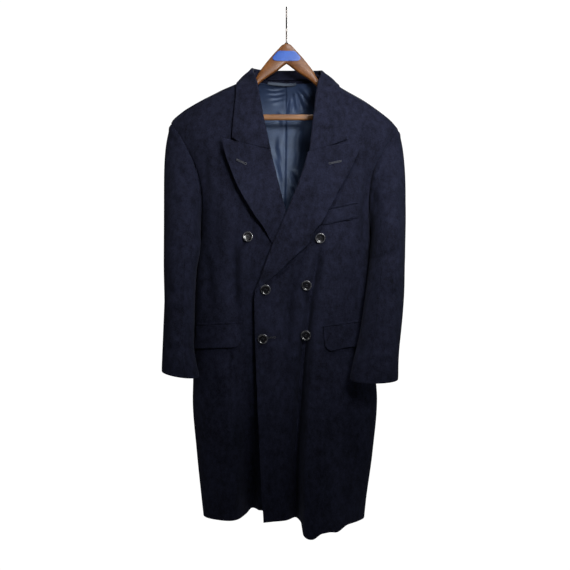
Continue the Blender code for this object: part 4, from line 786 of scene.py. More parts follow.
def make_collar(mats):
    """Fall and stand as the one folded piece that shows: free edge, fall, soft fold, stand down to the neck seam."""
    last = len(COLLAR["side"]) - 1
    q = spaced([0, 4, last - 4, last], [60, 150, 60], first=0.03, last=0.03)
    fold, edge = collar_lines(q)
    out = outward(fold)
    w = spaced([0, 1], [44], last=0.014)
    back = np.clip((np.minimum(q, last - q) - 4.0) / 1.0, 0, 1)

    def fall(w):
        p = fold[:, None] + (edge - fold)[:, None] * w[..., None]
        for end in (0, 1):
            half = q < last / 2 if end == 0 else q >= last / 2
            dist = q[half] if end == 0 else last - q[half]
            place, drop = COLLAR_GORGE[end]
            ww = w[half]
            bend = np.minimum(ww / place, (1 - ww) / (1 - place)) * drop * np.maximum(0.0, 1 - dist / 0.9)[:, None]
            p[half, :, 2] += bend
        # on the fronts the fall follows them; over the shoulder it leaves them
        for sign, face in ((-1, under_soft), (1, over_soft)):
            half = (q < last / 2) if sign < 0 else (q >= last / 2)
            lie = 1 - ease((np.minimum(q, last - q)[half] - 3.7) / 0.6)
            off = (LAY if sign > 0 else LAY_UNDER) + (2.4 if sign > 0 else 4.6) * w[half] ** 2 + 1.2 * np.sin(math.pi * w[half])
            on = lifted(face, p[half, :, 0], p[half, :, 2], off)[0]
            away = p[half] + 0.0
            p[half] = on * lie[:, None, None] + away * (1 - lie)[:, None, None]
        p = p + (out * 3.4 * back[:, None])[:, None, :] * (1 - w)[..., None]
        near = np.exp(-((np.minimum(q, last - q) - 4.0) / 0.8) ** 2)[1:-1, None, None]
        for _ in range(60):
            p[1:-1] += 0.5 * near * (0.5 * (p[:-2] + p[2:]) - p[1:-1])
        arch = (np.sin(math.pi * w) * 4.0 * back[:, None])[..., None]
        return p + arch * (out[:, None, :] * 0.6 + np.array([0, 0, 0.8]))

    probe = fall(np.broadcast_to(np.linspace(0, 0.24, 7), (len(q), 7)))
    n0 = grid_normals(probe, out[:, None, :])[:, 1]
    d0 = unit(probe[:, 2] - probe[:, 0])
    n0 = unit(n0 - d0 * np.sum(n0 * d0, -1, keepdims=True))
    width = np.linalg.norm(edge - fold, axis=-1)
    radius = np.where(q < last / 2, 5.0 - 1.0 * back, 4.3 - 0.3 * back)
    w0 = (radius / width)[:, None]
    face = fall(w0 + (1 - w0) * w[None, :])
    # neck seam below the stand, found round the neck by bearing
    nk = np.arange(len(NECK["side"]), dtype=float)
    low = []
    for i, s in enumerate(NECK["side"]):
        x, z = np.array(float(NECK["x"][i])), np.array(float(NECK["z"][i]))
        y = (over_y if x > 0 else under_y)(x, z) if s == "f" else back_y(x, z)
        if abs(float(x)) > 85:
            y = np.array(-5.0 if s == "f" else 5.0)
        low.append((float(x), float(y), float(z)))
    low = np.array(low)
    lq = np.linspace(0.6, len(nk) - 1.6, 160)
    low = np.stack([curve(dict(k=nk, v=low[:, c]), "v", "k")(lq) for c in range(3)], -1)
    bearing = lambda p: np.arctan2(p[:, 0], p[:, 1] + 25)
    order = np.argsort(bearing(low))
    seam = np.stack([np.interp(bearing(fold), bearing(low)[order], low[order, c]) for c in range(3)], -1)
    seam = seam - out * 3.4 + np.array([0, 0, 2.0])
    tail = face[:, 0] - 2 * radius[:, None] * n0 + d0 * 12.0
    mix = ease((np.minimum(q, last - q) - 4.0) / 1.3)[:, None]
    tail = tail * (1 - mix) + seam * mix
    p = rolled(face, face[:, 0], n0, d0, radius, tail)
    n = grid_normals(p, np.concatenate([-out[:, None].repeat(8, 1), out[:, None].repeat(p.shape[1] - 8, 1)], 1))
    return shell("cloth_collar", p, n, 2.3, mats)


# ---------------------------------------------------------------- sleeves
def sleeve_grid(side, degrees, head, body):
    a = np.radians(np.mod(degrees, 360.0))
    f = np.where(a <= math.pi, a, 2 * math.pi - a) / math.pi
    x, z = ARM_X[side](f), ARM_Z[side](f)
    front = (over_s if side > 0 else under_s)(x, z)
    hole = np.stack([x, np.where(a <= math.pi, front, back_s(x, z)), z], -1)
    col = SLEEVE[side]
    fx = {c: curve(col, c, "z") for c in ("x", "y", "across", "deep")}

    def ring(z):
        return np.stack([fx["x"](z) + side * fx["across"](z) * np.cos(a),
                         fx["y"](z) - fx["deep"](z) * np.sin(a), z + 0 * a], -1)

    first = ring(np.array(float(col["z"][0])))
    up = np.cos(a / 2) ** 2
    inner = np.exp(-((np.degrees(a) - 138.0) / 30.0) ** 2)
    leave = unit(np.stack([side * (0.55 - 0.13 * up - 0.26 * inner), -0.5 * np.sin(a), -(0.95 - 0.05 * up)], -1))
    reach = np.linalg.norm(first - hole, axis=-1)[:, None]
    t0 = leave * reach * 0.55
    t1 = np.array([0, 0, -1.0]) * reach * (0.7 + 0.4 * up[:, None])
    short = ease((f - 0.5) / 0.35)[:, None]
    share = curve(dict(s=np.linspace(0, 1, len(HEAD_SHARES)), v=HEAD_SHARES), "v", "s")
    rows = []
    for k in head:
        t = float(share(k))
        t = t + (k - t) * short
        rows.append((2 * t ** 3 - 3 * t ** 2 + 1) * hole + (t ** 3 - 2 * t ** 2 + t) * t0
                    + (3 * t ** 2 - 2 * t ** 3) * first + (t ** 3 - t ** 2) * t1)
    top, end = float(col["z"][0]), float(col["z"][-1])
    for k in body:
        z = top + (end - top) * k
        r = ring(np.array(z))
        r[:, 2] += (CUFF_TILT[side] * np.cos(a) - CUFF_DROP[side] * np.sin(a)) * max(0.0, (k - 1 / 7) / (6 / 7)) ** 2
        rows.append(r)
    p = np.array(rows)
    if side < 0:
        p[..., 0] += 10.5 * np.exp(-((np.degrees(a)[None] - 155.0) / 27.0) ** 2) * np.exp(-((p[..., 2] + 600.0) / 44.0) ** 2)
    n = unit(np.cross(np.gradient(p, axis=0), np.gradient(p, axis=1)))
    axis = np.stack([fx["x"](p[..., 2]), fx["y"](p[..., 2]), p[..., 2]], -1)
    if np.sum((n * (p - axis))[len(head):]) < 0:
        n = -n
    # creases in degrees round and height, scaled so that one degree is as long as on the cloth
    deg = np.mod(degrees, 360.0)[None, :] + 0 * p[..., 0]
    girth = 0.9
    high = p[..., 2]
    wave = 0.0
    for line, wide, deep, lip in SLEEVE_CREASES[side]:
        line = [(d * girth, h) for d, h in line]
        wave = wave + 1.4 * crease(deg * girth, high, line, wide, deep, lip)
    wave = wave + 1.2 * drift(deg * girth + 31 * side, high, 3.0 + side)
    # the sleeve's head is a little full just past its seam
    gone = np.concatenate([np.zeros((1, len(a))), np.cumsum(np.linalg.norm(np.diff(p, axis=0), axis=-1), 0)])
    full = 2.6 * np.exp(-((gone - 10) / 8) ** 2) * (up ** 0.7)[None, :]
    hold = ease(gone / 30) * ease((gone[-1:] - gone) / 16 + 0.25)
    return p + n * (wave * hold + full)[..., None], n


def make_sleeve(side, piece, mats):
    head = spaced([0, 1], [64], first=0.012)
    body = spaced([0, 1], [84], last=0.0045)[1:]
    if piece == "upper":
        ang = spaced([SEAM_BACK - 360, SEAM_FRONT], [110], first=1.4, last=1.4)
    else:
        ang = spaced([SEAM_FRONT, SEAM_BACK], [56], first=1.4, last=1.4)
    # normals come from a wider strip, so that both pieces agree along their seams
    wide = np.concatenate([[ang[0] - 2], ang, [ang[-1] + 2]])
    p, n = sleeve_grid(side, wide, head, body)
    p, n = p[:, 1:-1], grid_normals(p, n)[:, 1:-1]
    n[0] = seam_normal(side, np.radians(np.mod(ang, 360.0)))
    run = np.concatenate([np.zeros((1, p.shape[1])), np.cumsum(np.linalg.norm(np.diff(p, axis=0), axis=-1), 0)])
    inner = (run[-1:] - run > 38)[:-1, :-1]
    return shell(f"cloth_sleeve_{piece}_" + ("left" if side > 0 else "right"), p, n, CLOTH, mats, inner)


# ---------------------------------------------------------------- pockets
def strip(surface, x0, z0, x1, z1, high, lean, off, corner=0.0, lift=0.0, cols=64, rows=30):
    u = spaced([0, 1], [cols], first=0.012, last=0.012)
    v = spaced([0, 1], [rows], first=0.02, last=0.02)
    v, u = np.meshgrid(v, u, indexing="ij")
    x = x0 + (x1 - x0) * u + lean * v
    z = z0 + (z1 - z0) * u - high * v
    if corner:
        inset = corner * (1 - np.sqrt(np.clip(1 - np.clip((v * high - (high - corner)) / corner, 0, 1) ** 2, 0, 1)))
        x = x + np.sign(x1 - x0) * inset * np.clip(1 - u / 0.35, 0, 1)
    extra = lift * v ** 2 * (1 - 0.5 * u) + 0.4 * np.sin(9 * u + 1) * v
    return lifted(surface, x, z, off + extra)


def make_flap(side, mats):
    word = "left" if side > 0 else "right"
    p = POCKET[side]
    face = over_s if side > 0 else under_s
    g, n = strip(face, p["x0"], p["z0"], p["x1"], p["z1"], FLAP_H, 5.0 * side, FLAP_T + 1.6, corner=16.0, lift=3.2)
    flap = shell("cloth_flap_" + word, g, grid_normals(g, n), FLAP_T, mats)
    g, n = strip(face, p["x0"] - 3 * side, p["z0"] + JET_H + 0.6, p["x1"], p["z1"] + JET_H + 0.6, JET_H, 0, 2.6, rows=8)
    return flap, shell("cloth_jet_" + word, g, grid_normals(g, n), 2.0, mats)


def make_welt(mats):
    g, n = strip(over_s, WELT["x0"], WELT["z0"] + WELT["high"] / 2, WELT["x1"], WELT["z1"] + WELT["high"] / 2,
                 WELT["high"], 1.5, WELT["thick"] + 0.5, rows=24)
    return shell("cloth_welt", g, grid_normals(g, n), WELT["thick"] + 0.3, mats)


def make_seam_cord(name, points, normals, radius, mats, sides=8):
    """Thin sewn line: a round cord along points that lie on the cloth."""
    points = np.asarray(points, float)
    t = unit(np.gradient(points, axis=0))
    n = unit(normals - t * np.sum(normals * t, -1, keepdims=True))
    b = np.cross(t, n)
    a = np.linspace(0, 2 * math.pi, sides, endpoint=False)
    size = np.broadcast_to(np.asarray(radius, float), (len(points),))
    ring = points[:, None] + size[:, None, None] * (n[:, None] * np.sin(a)[None, :, None] + b[:, None] * np.cos(a)[None, :, None])
    verts = ring.reshape(-1, 3)
    count = len(points)
    faces = [(i * sides + k, i * sides + (k + 1) % sides, (i + 1) * sides + (k + 1) % sides, (i + 1) * sides + k)
             for i in range(count - 1) for k in range(sides)]
    faces.append(tuple(range(sides))[::-1])
    faces.append(tuple((count - 1) * sides + k for k in range(sides)))
    return to_object(name, verts, faces, mats)


def on_lapel(side):
    """Finds points of the lapel's face by (x, z)."""
    t, w = np.meshgrid(np.linspace(0.0, 0.40, 260), np.linspace(0.2, 1.0, 260), indexing="ij")
    p, _ = lapel_face(side, t, w)
    n = grid_normals(p, np.array([0, -1.0, 0])).reshape(-1, 3)
    p = p.reshape(-1, 3)

    def at(x, z, off):
        k = np.array([int(np.argmin((p[:, 0] - u) ** 2 + (p[:, 2] - v) ** 2)) for u, v in zip(x, z)])
        y = p[k, 1] - (n[k, 0] * (x - p[k, 0]) + n[k, 2] * (z - p[k, 2])) / n[k, 1]
        return np.stack([x, y, z], -1) + np.asarray(off)[:, None] * n[k], n[k]
    return at


def make_buttonhole(name, surface, a, b, off, mats):
    """Worked buttonhole: a flat ring of close stitches round a slit, with a keyhole end."""
    a, b = np.asarray(a, float), np.asarray(b, float)
    along = unit(b - a)
    length = np.linalg.norm(b - a)
    side = np.array([-along[1], along[0]])
    turns, per = 46, 6
    s = np.linspace(0, 1, turns * per * 2 + 1)
    # path out along one lip and back along the other
    run = np.where(s < 0.5, s * 2, 2 - 2 * s) * length
    wide = np.where(s < 0.5, 1, -1) * (1.25 + 1.0 * np.exp(-((run - length + 2.5) / 2.2) ** 2))
    wide = wide * np.clip(np.sin(math.pi * np.clip(run / length, 0, 1)) * 9, 0, 1)
    throw = 0.75 * np.sin(s * turns * 2 * math.pi)
    pos = a[None] + along[None] * run[:, None] + side[None] * (wide + np.sign(wide + 1e-9) * throw)[:, None]
    rise = 0.35 * np.cos(s * turns * 2 * math.pi)
    p, n = surface(pos[:, 0], pos[:, 1], off + 0.5 + rise)
    return make_seam_cord(name, p, n, 0.42, mats, 5)


# ---------------------------------------------------------------- buttons
def button_mesh(mats):
    """Turned four-hole button: dished face, raised rolled rim."""
    r = BUTTON_D / 2
    profile = [(0, 0.1), (r - 5, 0.0), (r - 2.4, 0.25), (r - 1.0, 1.0), (r - 0.25, 1.9), (r, 2.7), (r - 0.2, 3.5),
               (r - 0.8, 4.1), (r - 1.6, 4.35), (r - 2.4, 4.15), (r - 3.1, 3.6), (r - 3.7, 3.05), (r - 4.6, 2.75),
               (r - 6.0, 2.6), (r - 8.5, 2.5), (0, 2.45)]
    bm = bmesh.new()
    vs = [bm.verts.new((a * MM, 0, b * MM)) for a, b in profile]
    es = [bm.edges.new(pair) for pair in zip(vs, vs[1:])]
    bmesh.ops.spin(bm, geom=vs + es, axis=(0, 0, 1), cent=(0, 0, 0), dvec=(0, 0, 0), angle=2 * math.pi, steps=72,
                   use_merge=True)
    bmesh.ops.remove_doubles(bm, verts=bm.verts, dist=0.00002)
    bmesh.ops.recalc_face_normals(bm, faces=bm.faces)
    disc = bpy.data.meshes.new("button_disc")
    bm.to_mesh(disc)
    bm.free()
    cut = bmesh.new()
    for k in range(4):
        a = math.pi / 4 + k * math.pi / 2
        bmesh.ops.create_cone(cut, cap_ends=True, segments=20, radius1=1.15 * MM, radius2=1.15 * MM, depth=12 * MM,
                              matrix=Matrix.Translation((2.7 * MM * math.cos(a), 2.7 * MM * math.sin(a), 2 * MM)))
    tool = bpy.data.meshes.new("button_holes")
    cut.to_mesh(tool)
    cut.free()
    body = bpy.data.objects.new("button_body", disc)
    drill = bpy.data.objects.new("button_drill", tool)
    for o in (body, drill):
        bpy.context.scene.collection.objects.link(o)
    mod = body.modifiers.new("holes", "BOOLEAN")
    mod.object, mod.operation, mod.solver = drill, "DIFFERENCE", "EXACT"
    dg = bpy.context.evaluated_depsgraph_get()
    mesh = bpy.data.meshes.new_from_object(body.evaluated_get(dg))
    mesh.name = "button_turned"
    for o in (body, drill):
        bpy.data.objects.remove(o, do_unlink=True)
    mesh.materials.clear()
    for m in mats:
        mesh.materials.append(m)
    mesh.polygons.foreach_set("use_smooth", np.ones(len(mesh.polygons), bool))
    mesh.set_sharp_from_angle(angle=math.radians(55))
    # the turned rim gets paler horn: partly its own paler polish, partly a painted highlight for the bright ring it
    # catches
    far = [1 if math.hypot(f.center.x, f.center.y) > (r - 2.5) * MM and f.center.z > 3.2 * MM else 0 for f in mesh.polygons]
    mesh.polygons.foreach_set("material_index", far)
    return mesh


def thread_mesh(mats):
    """Sewing thread through the four holes and the shank under the button."""
    verts, faces = [], []

    def tube(points, radius, sides=8):
        points = np.asarray(points, float)
        t = unit(np.gradient(points, axis=0))
        ref = np.array([0.37, 0.86, 0.21])
        n = unit(ref - t * np.sum(ref * t, -1, keepdims=True))
        b = np.cross(t, n)
        a = np.linspace(0, 2 * math.pi, sides, endpoint=False)
        ring = points[:, None] + radius * (n[:, None] * np.cos(a)[None, :, None] + b[:, None] * np.sin(a)[None, :, None])
        start = len(verts)
        verts.extend(ring.reshape(-1, 3).tolist())
        for i in range(len(points) - 1):
            for k in range(sides):
                faces.append((start + i * sides + k, start + i * sides + (k + 1) % sides,
                              start + (i + 1) * sides + (k + 1) % sides, start + (i + 1) * sides + k))
        faces.append(tuple(start + k for k in range(sides))[::-1])
        faces.append(tuple(start + (len(points) - 1) * sides + k for k in range(sides)))

    c = 2.7 * math.cos(math.pi / 4)
    for sx in (-1, 1):
        for k in (-1, 0, 1):
            s = np.linspace(-1, 1, 15)
            x = sx * c + 0.38 * k + 0 * s
            y = c * np.clip(s * 1.35, -1, 1)
            z = 2.75 + 0.55 * np.sqrt(np.clip(1 - (np.abs(s)) ** 3, 0, 1)) - 2.2 * np.clip((np.abs(s) - 0.75) / 0.25, 0, 1)
            tube(np.stack([x, y, z], -1), 0.36)
    for k in range(5):
        a = k * 2 * math.pi / 5
        s = np.linspace(0, 1, 6)
        tube(np.stack([1.4 * np.cos(a) * (1.1 - 0.3 * s), 1.4 * np.sin(a) * (1.1 - 0.3 * s), 0.2 - 3.4 * s], -1), 0.8)
    return verts, faces


def make_buttons(horn, rim, thread):
    disc = button_mesh([horn, rim])
    tv, tf = thread_mesh([thread])
    made = []
    r = BUTTON_D / 2
    rows = zip(*(BUTTONS[c] for c in ("name", "x", "z", "over", "lean", "turn")))
    for name, x, z, over, lean, turn in rows:
        surface = over_s if over else under_s
        foot, n = lifted(over_soft if over else under_soft, np.array(float(x)), np.array(float(z)), np.array(0.0))
        around = np.linspace(0, 2 * math.pi, 24)
        n = unit(n + np.array([math.tan(math.radians(lean[0])), 0, math.tan(math.radians(lean[1]))]))
        under = lifted(surface, x + r * np.cos(around), z + r * np.sin(around), 0 * around)[0]
        base = foot + n * (0.9 + max(0.0, float(np.max((under - foot) @ n))))
        q = Vector(n.tolist()).to_track_quat("Z", "Y").to_matrix().to_4x4()
        m = Matrix.Translation(Vector(base.tolist()) * MM) @ q @ Matrix.Rotation(math.radians(turn), 4, "Z")
        mesh = disc.copy()
        mesh.transform(m)
        obj = bpy.data.objects.new("turned_button_" + name, mesh)
        bpy.context.scene.collection.objects.link(obj)
        sewn = to_object("thread_button_" + name, tv, tf, [thread])
        sewn.data.transform(m)
        made.append((name, obj, sewn))
    bpy.data.meshes.remove(disc)
    return made


# ---------------------------------------------------------------- lining and loop
def make_lining(mats):
    zs = spaced([-1238, -520, -178], [90, 140], first=2.0, last=2.0)
    share = spaced([-1, -0.45, 0.45, 1], [34, 90, 34], first=0.012, last=0.012)
    pts = []
    for z in zs:
        lim_l, lim_r = -0.84 * float(W_LEFT(z)), 0.84 * float(W_RIGHT(z))
        if z > -570:
            arm_l = np.interp(-z, -np.array(ARMHOLE[-1]["z"]), ARMHOLE[-1]["x"])
            arm_r = np.interp(-z, -np.array(ARMHOLE[1]["z"]), ARMHOLE[1]["x"])
            lim_l, lim_r = max(lim_l, float(arm_l) + 24), min(lim_r, float(arm_r) - 24)
        if z > -350:
            reach = np.interp(z, [-350, -300, -255, -222, -197, -178], [184, 140, 104, 88, 78, 72])
            lim_l, lim_r = max(lim_l, -reach), min(lim_r, reach)
        x = np.where(share < 0, -lim_l * share, lim_r * share)
        zz = np.full_like(x, float(z))
        base = lifted(back_y, x, zz, np.full_like(x, -CLOTH - 5.5), 1)[0]
        # centre pleat: the right half lies over the left, sharp at its fold; then the listed wrinkles
        line = -1.5 + 0.012 * (z + 300)
        pleat = 2.0 * ease((x - line) / 2.2) * (1 - ease((x - line - 2) / 40)) - 0.7 * np.exp(-((x - line + 2.5) / 3.0) ** 2)
        fold = 0.75 * creases(x, zz, LINING_CREASES) + 0.6 * drift(x * 1.7, zz * 1.6, 5.0)
        base[:, 1] -= (pleat + fold) * float(ease((-176 - z) / 12))
        pts.append(base)
    p = np.array(pts)
    n = grid_normals(p, np.array([0, -1.0, 0]))
    return shell("satin_lining_back", p, n, 1.0, mats)


def make_loop(mats):
    u = spaced([0, 1], [40], first=0.02, last=0.02)
    v = spaced([0, 1], [10], first=0.06, last=0.06)
    v, u = np.meshgrid(v, u, indexing="ij")
    x = LOOP["x0"] + (LOOP["x1"] - LOOP["x0"]) * u
    z = LOOP["z"] - LOOP["high"] * (v - 0.5) - 3.0 * (4 * u * (1 - u)) + 1.0 * np.sin(5 * u)
    y = back_y(x, np.minimum(z, -190.0)) - 15.0 - 3.0 * (4 * u * (1 - u)) - 0.8 * np.sin(math.pi * v)
    p = np.stack([x, y, z], -1)
    return shell("satin_hanger_loop", p, grid_normals(p, np.array([0, -1.0, 0])), 1.4, mats)


# ---------------------------------------------------------------- hanger
def make_hanger(mats):
    """Shaped wooden hanger: the CAD outline, drawn smooth, with well rounded edges."""
    top = curve(HANGER_TOP, "z", "x")
    low = curve(HANGER_LOW, "z", "x")
    a, b = HANGER_LEG
    half = {}
    for side in (-1, 1):
        line = [(side * x, float(top(x))) for x in np.concatenate([np.linspace(0, 20, 9), np.linspace(25, 92, 15)])]
        sag = lambda x, d: float(RIDGE_Z(side * x)) - d
        line += [(side * x, sag(x, CLOTH + 9.5)) for x in (110, 123, 135, 148, 160, 173, 185, 195, 205, HANGER_END - 6)]
        end = float(RIDGE_Z(side * HANGER_END))
        line += [(side * (HANGER_END - 1), end - 13.5), (side * HANGER_END, end - 18), (side * (HANGER_END - 1), end - 23),
                 (side * (HANGER_END - 4), end - 27)]
        line += [(side * 207, sag(207, 30.5)), (side * 196, sag(196, 33)), (side * 184, sag(184, 34))]
        line += [(side * (b + 1), sag(b, 36)), (side * (b - 1.5), sag(b, 41)), (side * (b - 3), BAR_Z - BAR_H / 2 - 1),
                 (side * (b - 5), BAR_Z - BAR_H / 2 - 4), (side * (a + 5), BAR_Z - BAR_H / 2 - 4),
                 (side * (a + 3), BAR_Z - BAR_H / 2 - 1), (side * (a + 0.5), sag(a, 43)), (side * (a - 3), sag(a, 38))]
        line += [(side * 135, sag(135, 38)), (side * 120, sag(120, 38)), (side * 105, sag(105, 38.5))]
        line += [(side * x, float(low(x))) for x in np.linspace(90, 0, 19)]
        half[side] = line
    ring = half[1] + half[-1][::-1][1:-1]
    rows = 13
    # the section is a rounded oblong: outline drawn in toward its faces
    pts = np.array(ring)
    step = np.roll(pts, -1, 0) - np.roll(pts, 1, 0)
    norm = unit(np.stack([step[:, 1], -step[:, 0]], -1))
    area = 0.5 * np.sum(pts[:, 0] * np.roll(pts[:, 1], -1) - np.roll(pts[:, 0], -1) * pts[:, 1])
    if area < 0:
        norm = -norm
    bm = bmesh.new()
    loops = []
    for k in range(rows):
        s = -1 + 2 * k / (rows - 1)
        d = 4.2 * (1 - math.sqrt(max(0.0, 1 - max(0.0, (abs(s) - 0.36) / 0.64) ** 2)))
        loops.append([bm.verts.new(((x - nx * d) * MM, s * WOOD / 2 * MM, (z - nz * d) * MM))
                      for (x, z), (nx, nz) in zip(pts, norm)])
    count = len(pts)
    for one, two in zip(loops, loops[1:]):
        for k in range(count):
            bm.faces.new((one[k], one[(k + 1) % count], two[(k + 1) % count], two[k]))
    caps = [bm.faces.new(loops[0][::-1]), bm.faces.new(loops[-1])]
    bmesh.ops.triangulate(bm, faces=caps)
    bmesh.ops.recalc_face_normals(bm, faces=bm.faces)
    mesh = bpy.data.meshes.new("shaped_hanger")
    bm.to_mesh(mesh)
    bm.free()
    mesh.polygons.foreach_set("use_smooth", np.ones(len(mesh.polygons), bool))
    mesh.set_sharp_from_angle(angle=math.radians(50))
    for m in mats:
        mesh.materials.append(m)
    obj = bpy.data.objects.new("shaped_hanger", mesh)
    bpy.context.scene.collection.objects.link(obj)
    return obj


def make_bar(mats):
    reach = HANGER_LEG[0] - 1.0
    a = np.linspace(0, 2 * math.pi, 32, endpoint=False)
    sx = np.concatenate([[-reach, -reach + 0.6], np.linspace(-reach + 3, reach - 3, 31), [reach - 0.6, reach]])
    shrink = np.concatenate([[0.9, 0.98], np.ones(31), [0.98, 0.9]])
    c, s = np.cos(a), np.sin(a)
    sec = np.stack([4.5 * np.sign(c) * np.abs(c) ** 0.55, 0.5 * BAR_H * np.sign(s) * np.abs(s) ** 0.55], -1)
    verts = [(x, k * y, BAR_Z + k * z) for x, k in zip(sx, shrink) for y, z in sec]
    n = len(a)
    faces = [(i * n + k, i * n + (k + 1) % n, (i + 1) * n + (k + 1) % n, (i + 1) * n + k)
             for i in range(len(sx) - 1) for k in range(n)]
    faces += [tuple(range(n))[::-1], tuple((len(sx) - 1) * n + k for k in range(n))]
    return to_object("shaped_bar", verts, faces, mats)


def make_hook(mats):
    r = 17.0
    cz = WIRE / 2 - r
    pts = [(0, HANGER_TOP["z"][0] - 1.5), (0, -80), (0, -70), (0, -58), (2.5, -48), (7.5, -38)]
    for deg in range(-48, 206, 14):
        a = math.radians(deg)
        pts.append((r * math.cos(a), cz + r * math.sin(a)))
    k = np.arange(len(pts), dtype=float)
    q = np.linspace(0, len(pts) - 1, 140)
    path = np.stack([curve(dict(k=k, v=[p[c] for p in pts]), "v", "k")(q) for c in (0, 1)], -1)
    for _ in range(6):
        path[1:-1] = 0.25 * path[:-2] + 0.5 * path[1:-1] + 0.25 * path[2:]
    points = np.stack([0 * q, path[:, 0], path[:, 1]], -1)
    size = np.full(len(q), WIRE / 2)
    size[-3:] = WIRE / 2 * np.array([0.92, 0.75, 0.4])
    return make_seam_cord("bent_hook", points, np.broadcast_to(np.array([1.0, 0, 0]), points.shape), size, mats, 20)


def make_ferrule(mats):
    """Small turned collar where the hook's stem enters the wood."""
    z0 = HANGER_TOP["z"][0]
    prof = [(0.2, z0 - 1.0), (4.6, z0 - 1.0), (4.6, z0 + 0.6), (4.2, z0 + 1.2), (3.0, z0 + 1.6), (2.2, z0 + 2.6), (0.2, z0 + 2.6)]
    n = 32
    verts = [(r * math.cos(2 * math.pi * k / n), r * math.sin(2 * math.pi * k / n), z) for r, z in prof for k in range(n)]
    faces = [(i * n + k, i * n + (k + 1) % n, (i + 1) * n + (k + 1) % n, (i + 1) * n + k)
             for i in range(len(prof) - 1) for k in range(n)]
    faces += [tuple(range(n))[::-1], tuple((len(prof) - 1) * n + k for k in range(n))]
    return to_object("turned_ferrule", verts, faces, mats)


def make_label(mats):
    """Plain blue lozenge, softly domed, without lettering."""
    half = [(18, -108.6), (24, -112), (30, -118.5), (34, -124), (35, -127.5), (33.5, -130.8), (29, -133.2), (24, -134)]
    ring = np.array(half + [(-x, z) for x, z in half[::-1]])
    centre = ring.mean(0)
    verts, faces = [], []
    levels = [(1.0, 0.0), (1.0, 0.45), (0.985, 0.75), (0.96, 0.9), (0.9, 0.98), (0.6, 1.1), (0.3, 1.15)]
    n = len(ring)
    for s, h in levels:
        for x, z in ring:
            verts.append((centre[0] + (x - centre[0]) * s, -WOOD / 2 - 0.25 - h * 0.9, centre[1] + (z - centre[1]) * s))
    for i in range(len(levels) - 1):
        for k in range(n):
            faces.append((i * n + k, i * n + (k + 1) % n, (i + 1) * n + (k + 1) % n, (i + 1) * n + k))
    faces.append(tuple(range(n))[::-1])
    faces.append(tuple((len(levels) - 1) * n + k for k in range(n)))
    obj = to_object("plain_lozenge", verts, faces, mats)
    bm = bmesh.new()
    bm.from_mesh(obj.data)
    bmesh.ops.recalc_face_normals(bm, faces=bm.faces)
    bm.to_mesh(obj.data)
    bm.free()
    return obj


# ---------------------------------------------------------------- materials
def shader(name):
    m = bpy.data.materials.new(name)
    m.use_nodes = True
    t = m.node_tree
    return m, t, t.nodes["Principled BSDF"]


def node(tree, kind, **values):
    n = tree.nodes.new(kind)
    for k, v in values.items():
        if k in n.inputs:
            n.inputs[k].default_value = v
        else:
            setattr(n, k.lower(), v)
    return n


def noise(tree, vector, scale, detail=3.0, rough=0.55):
    n = tree.nodes.new("ShaderNodeTexNoise")
    n.inputs["Scale"].default_value = scale
    n.inputs["Detail"].default_value = detail
    n.inputs["Roughness"].default_value = rough
    tree.links.new(vector, n.inputs["Vector"])
    return n.outputs["Fac"]


def stretched(tree, vector, scale):
    m = tree.nodes.new("ShaderNodeMapping")
    m.inputs["Scale"].default_value = scale
    tree.links.new(vector, m.inputs["Vector"])
    return m.outputs["Vector"]


def blend_values(tree, a, b, share):
    m = tree.nodes.new("ShaderNodeMix")
    m.data_type = "FLOAT"
    m.inputs["Factor"].default_value = share
    tree.links.new(a, m.inputs["A"])
    tree.links.new(b, m.inputs["B"])
    return m.outputs["Result"]


def ramp(tree, value, stops):
    r = tree.nodes.new("ShaderNodeValToRGB")
    e = r.color_ramp.elements
    while len(e) < len(stops):
        e.new(0.5)
    for el, (pos, col) in zip(e, stops):
        el.position = pos
        el.color = (*col, 1)
    tree.links.new(value, r.inputs["Fac"])
    return r.outputs["Color"]


def bump(tree, height, strength, distance, normal=None):
    b = tree.nodes.new("ShaderNodeBump")
    b.inputs["Strength"].default_value = strength
    b.inputs["Distance"].default_value = distance
    tree.links.new(height, b.inputs["Height"])
    if normal is not None:
        tree.links.new(normal, b.inputs["Normal"])
    return b.outputs["Normal"]


def wool_material(name, dark, light, sheen):
    """Dense milled wool: short nap brushed down, faint mottling, hardly any shine."""
    m, t, b = shader(name)
    at = t.nodes.new("ShaderNodeTexCoord").outputs["Object"]
    nap = noise(t, stretched(t, at, (1.0, 1.0, 0.22)), 1500, 4.0, 0.6)
    felt = noise(t, at, 300, 4.0, 0.6)
    patch = noise(t, stretched(t, at, (1.0, 1.0, 0.7)), 85, 3.0, 0.6)
    cloud = noise(t, stretched(t, at, (1.0, 1.0, 0.6)), 18, 2.0, 0.5)
    tone = blend_values(t, blend_values(t, blend_values(t, nap, felt, 0.5), patch, 0.36), cloud, 0.16)
    t.links.new(ramp(t, tone, [(0.37, dark), (0.50, [0.5 * (p + q) for p, q in zip(dark, light)]), (0.63, light)]),
                b.inputs["Base Color"])
    rough = t.nodes.new("ShaderNodeMapRange")
    rough.inputs["To Min"].default_value, rough.inputs["To Max"].default_value = 0.82, 0.98
    t.links.new(felt, rough.inputs["Value"])
    t.links.new(rough.outputs["Result"], b.inputs["Roughness"])
    b.inputs["Specular IOR Level"].default_value = 0.10
    b.inputs["Sheen Weight"].default_value = sheen
    b.inputs["Sheen Roughness"].default_value = 0.45
    b.inputs["Sheen Tint"].default_value = (0.42, 0.47, 0.62, 1)
    fine = bump(t, nap, 0.35, 0.0005)
    t.links.new(bump(t, felt, 0.35, 0.0012, fine), b.inputs["Normal"])
    return m


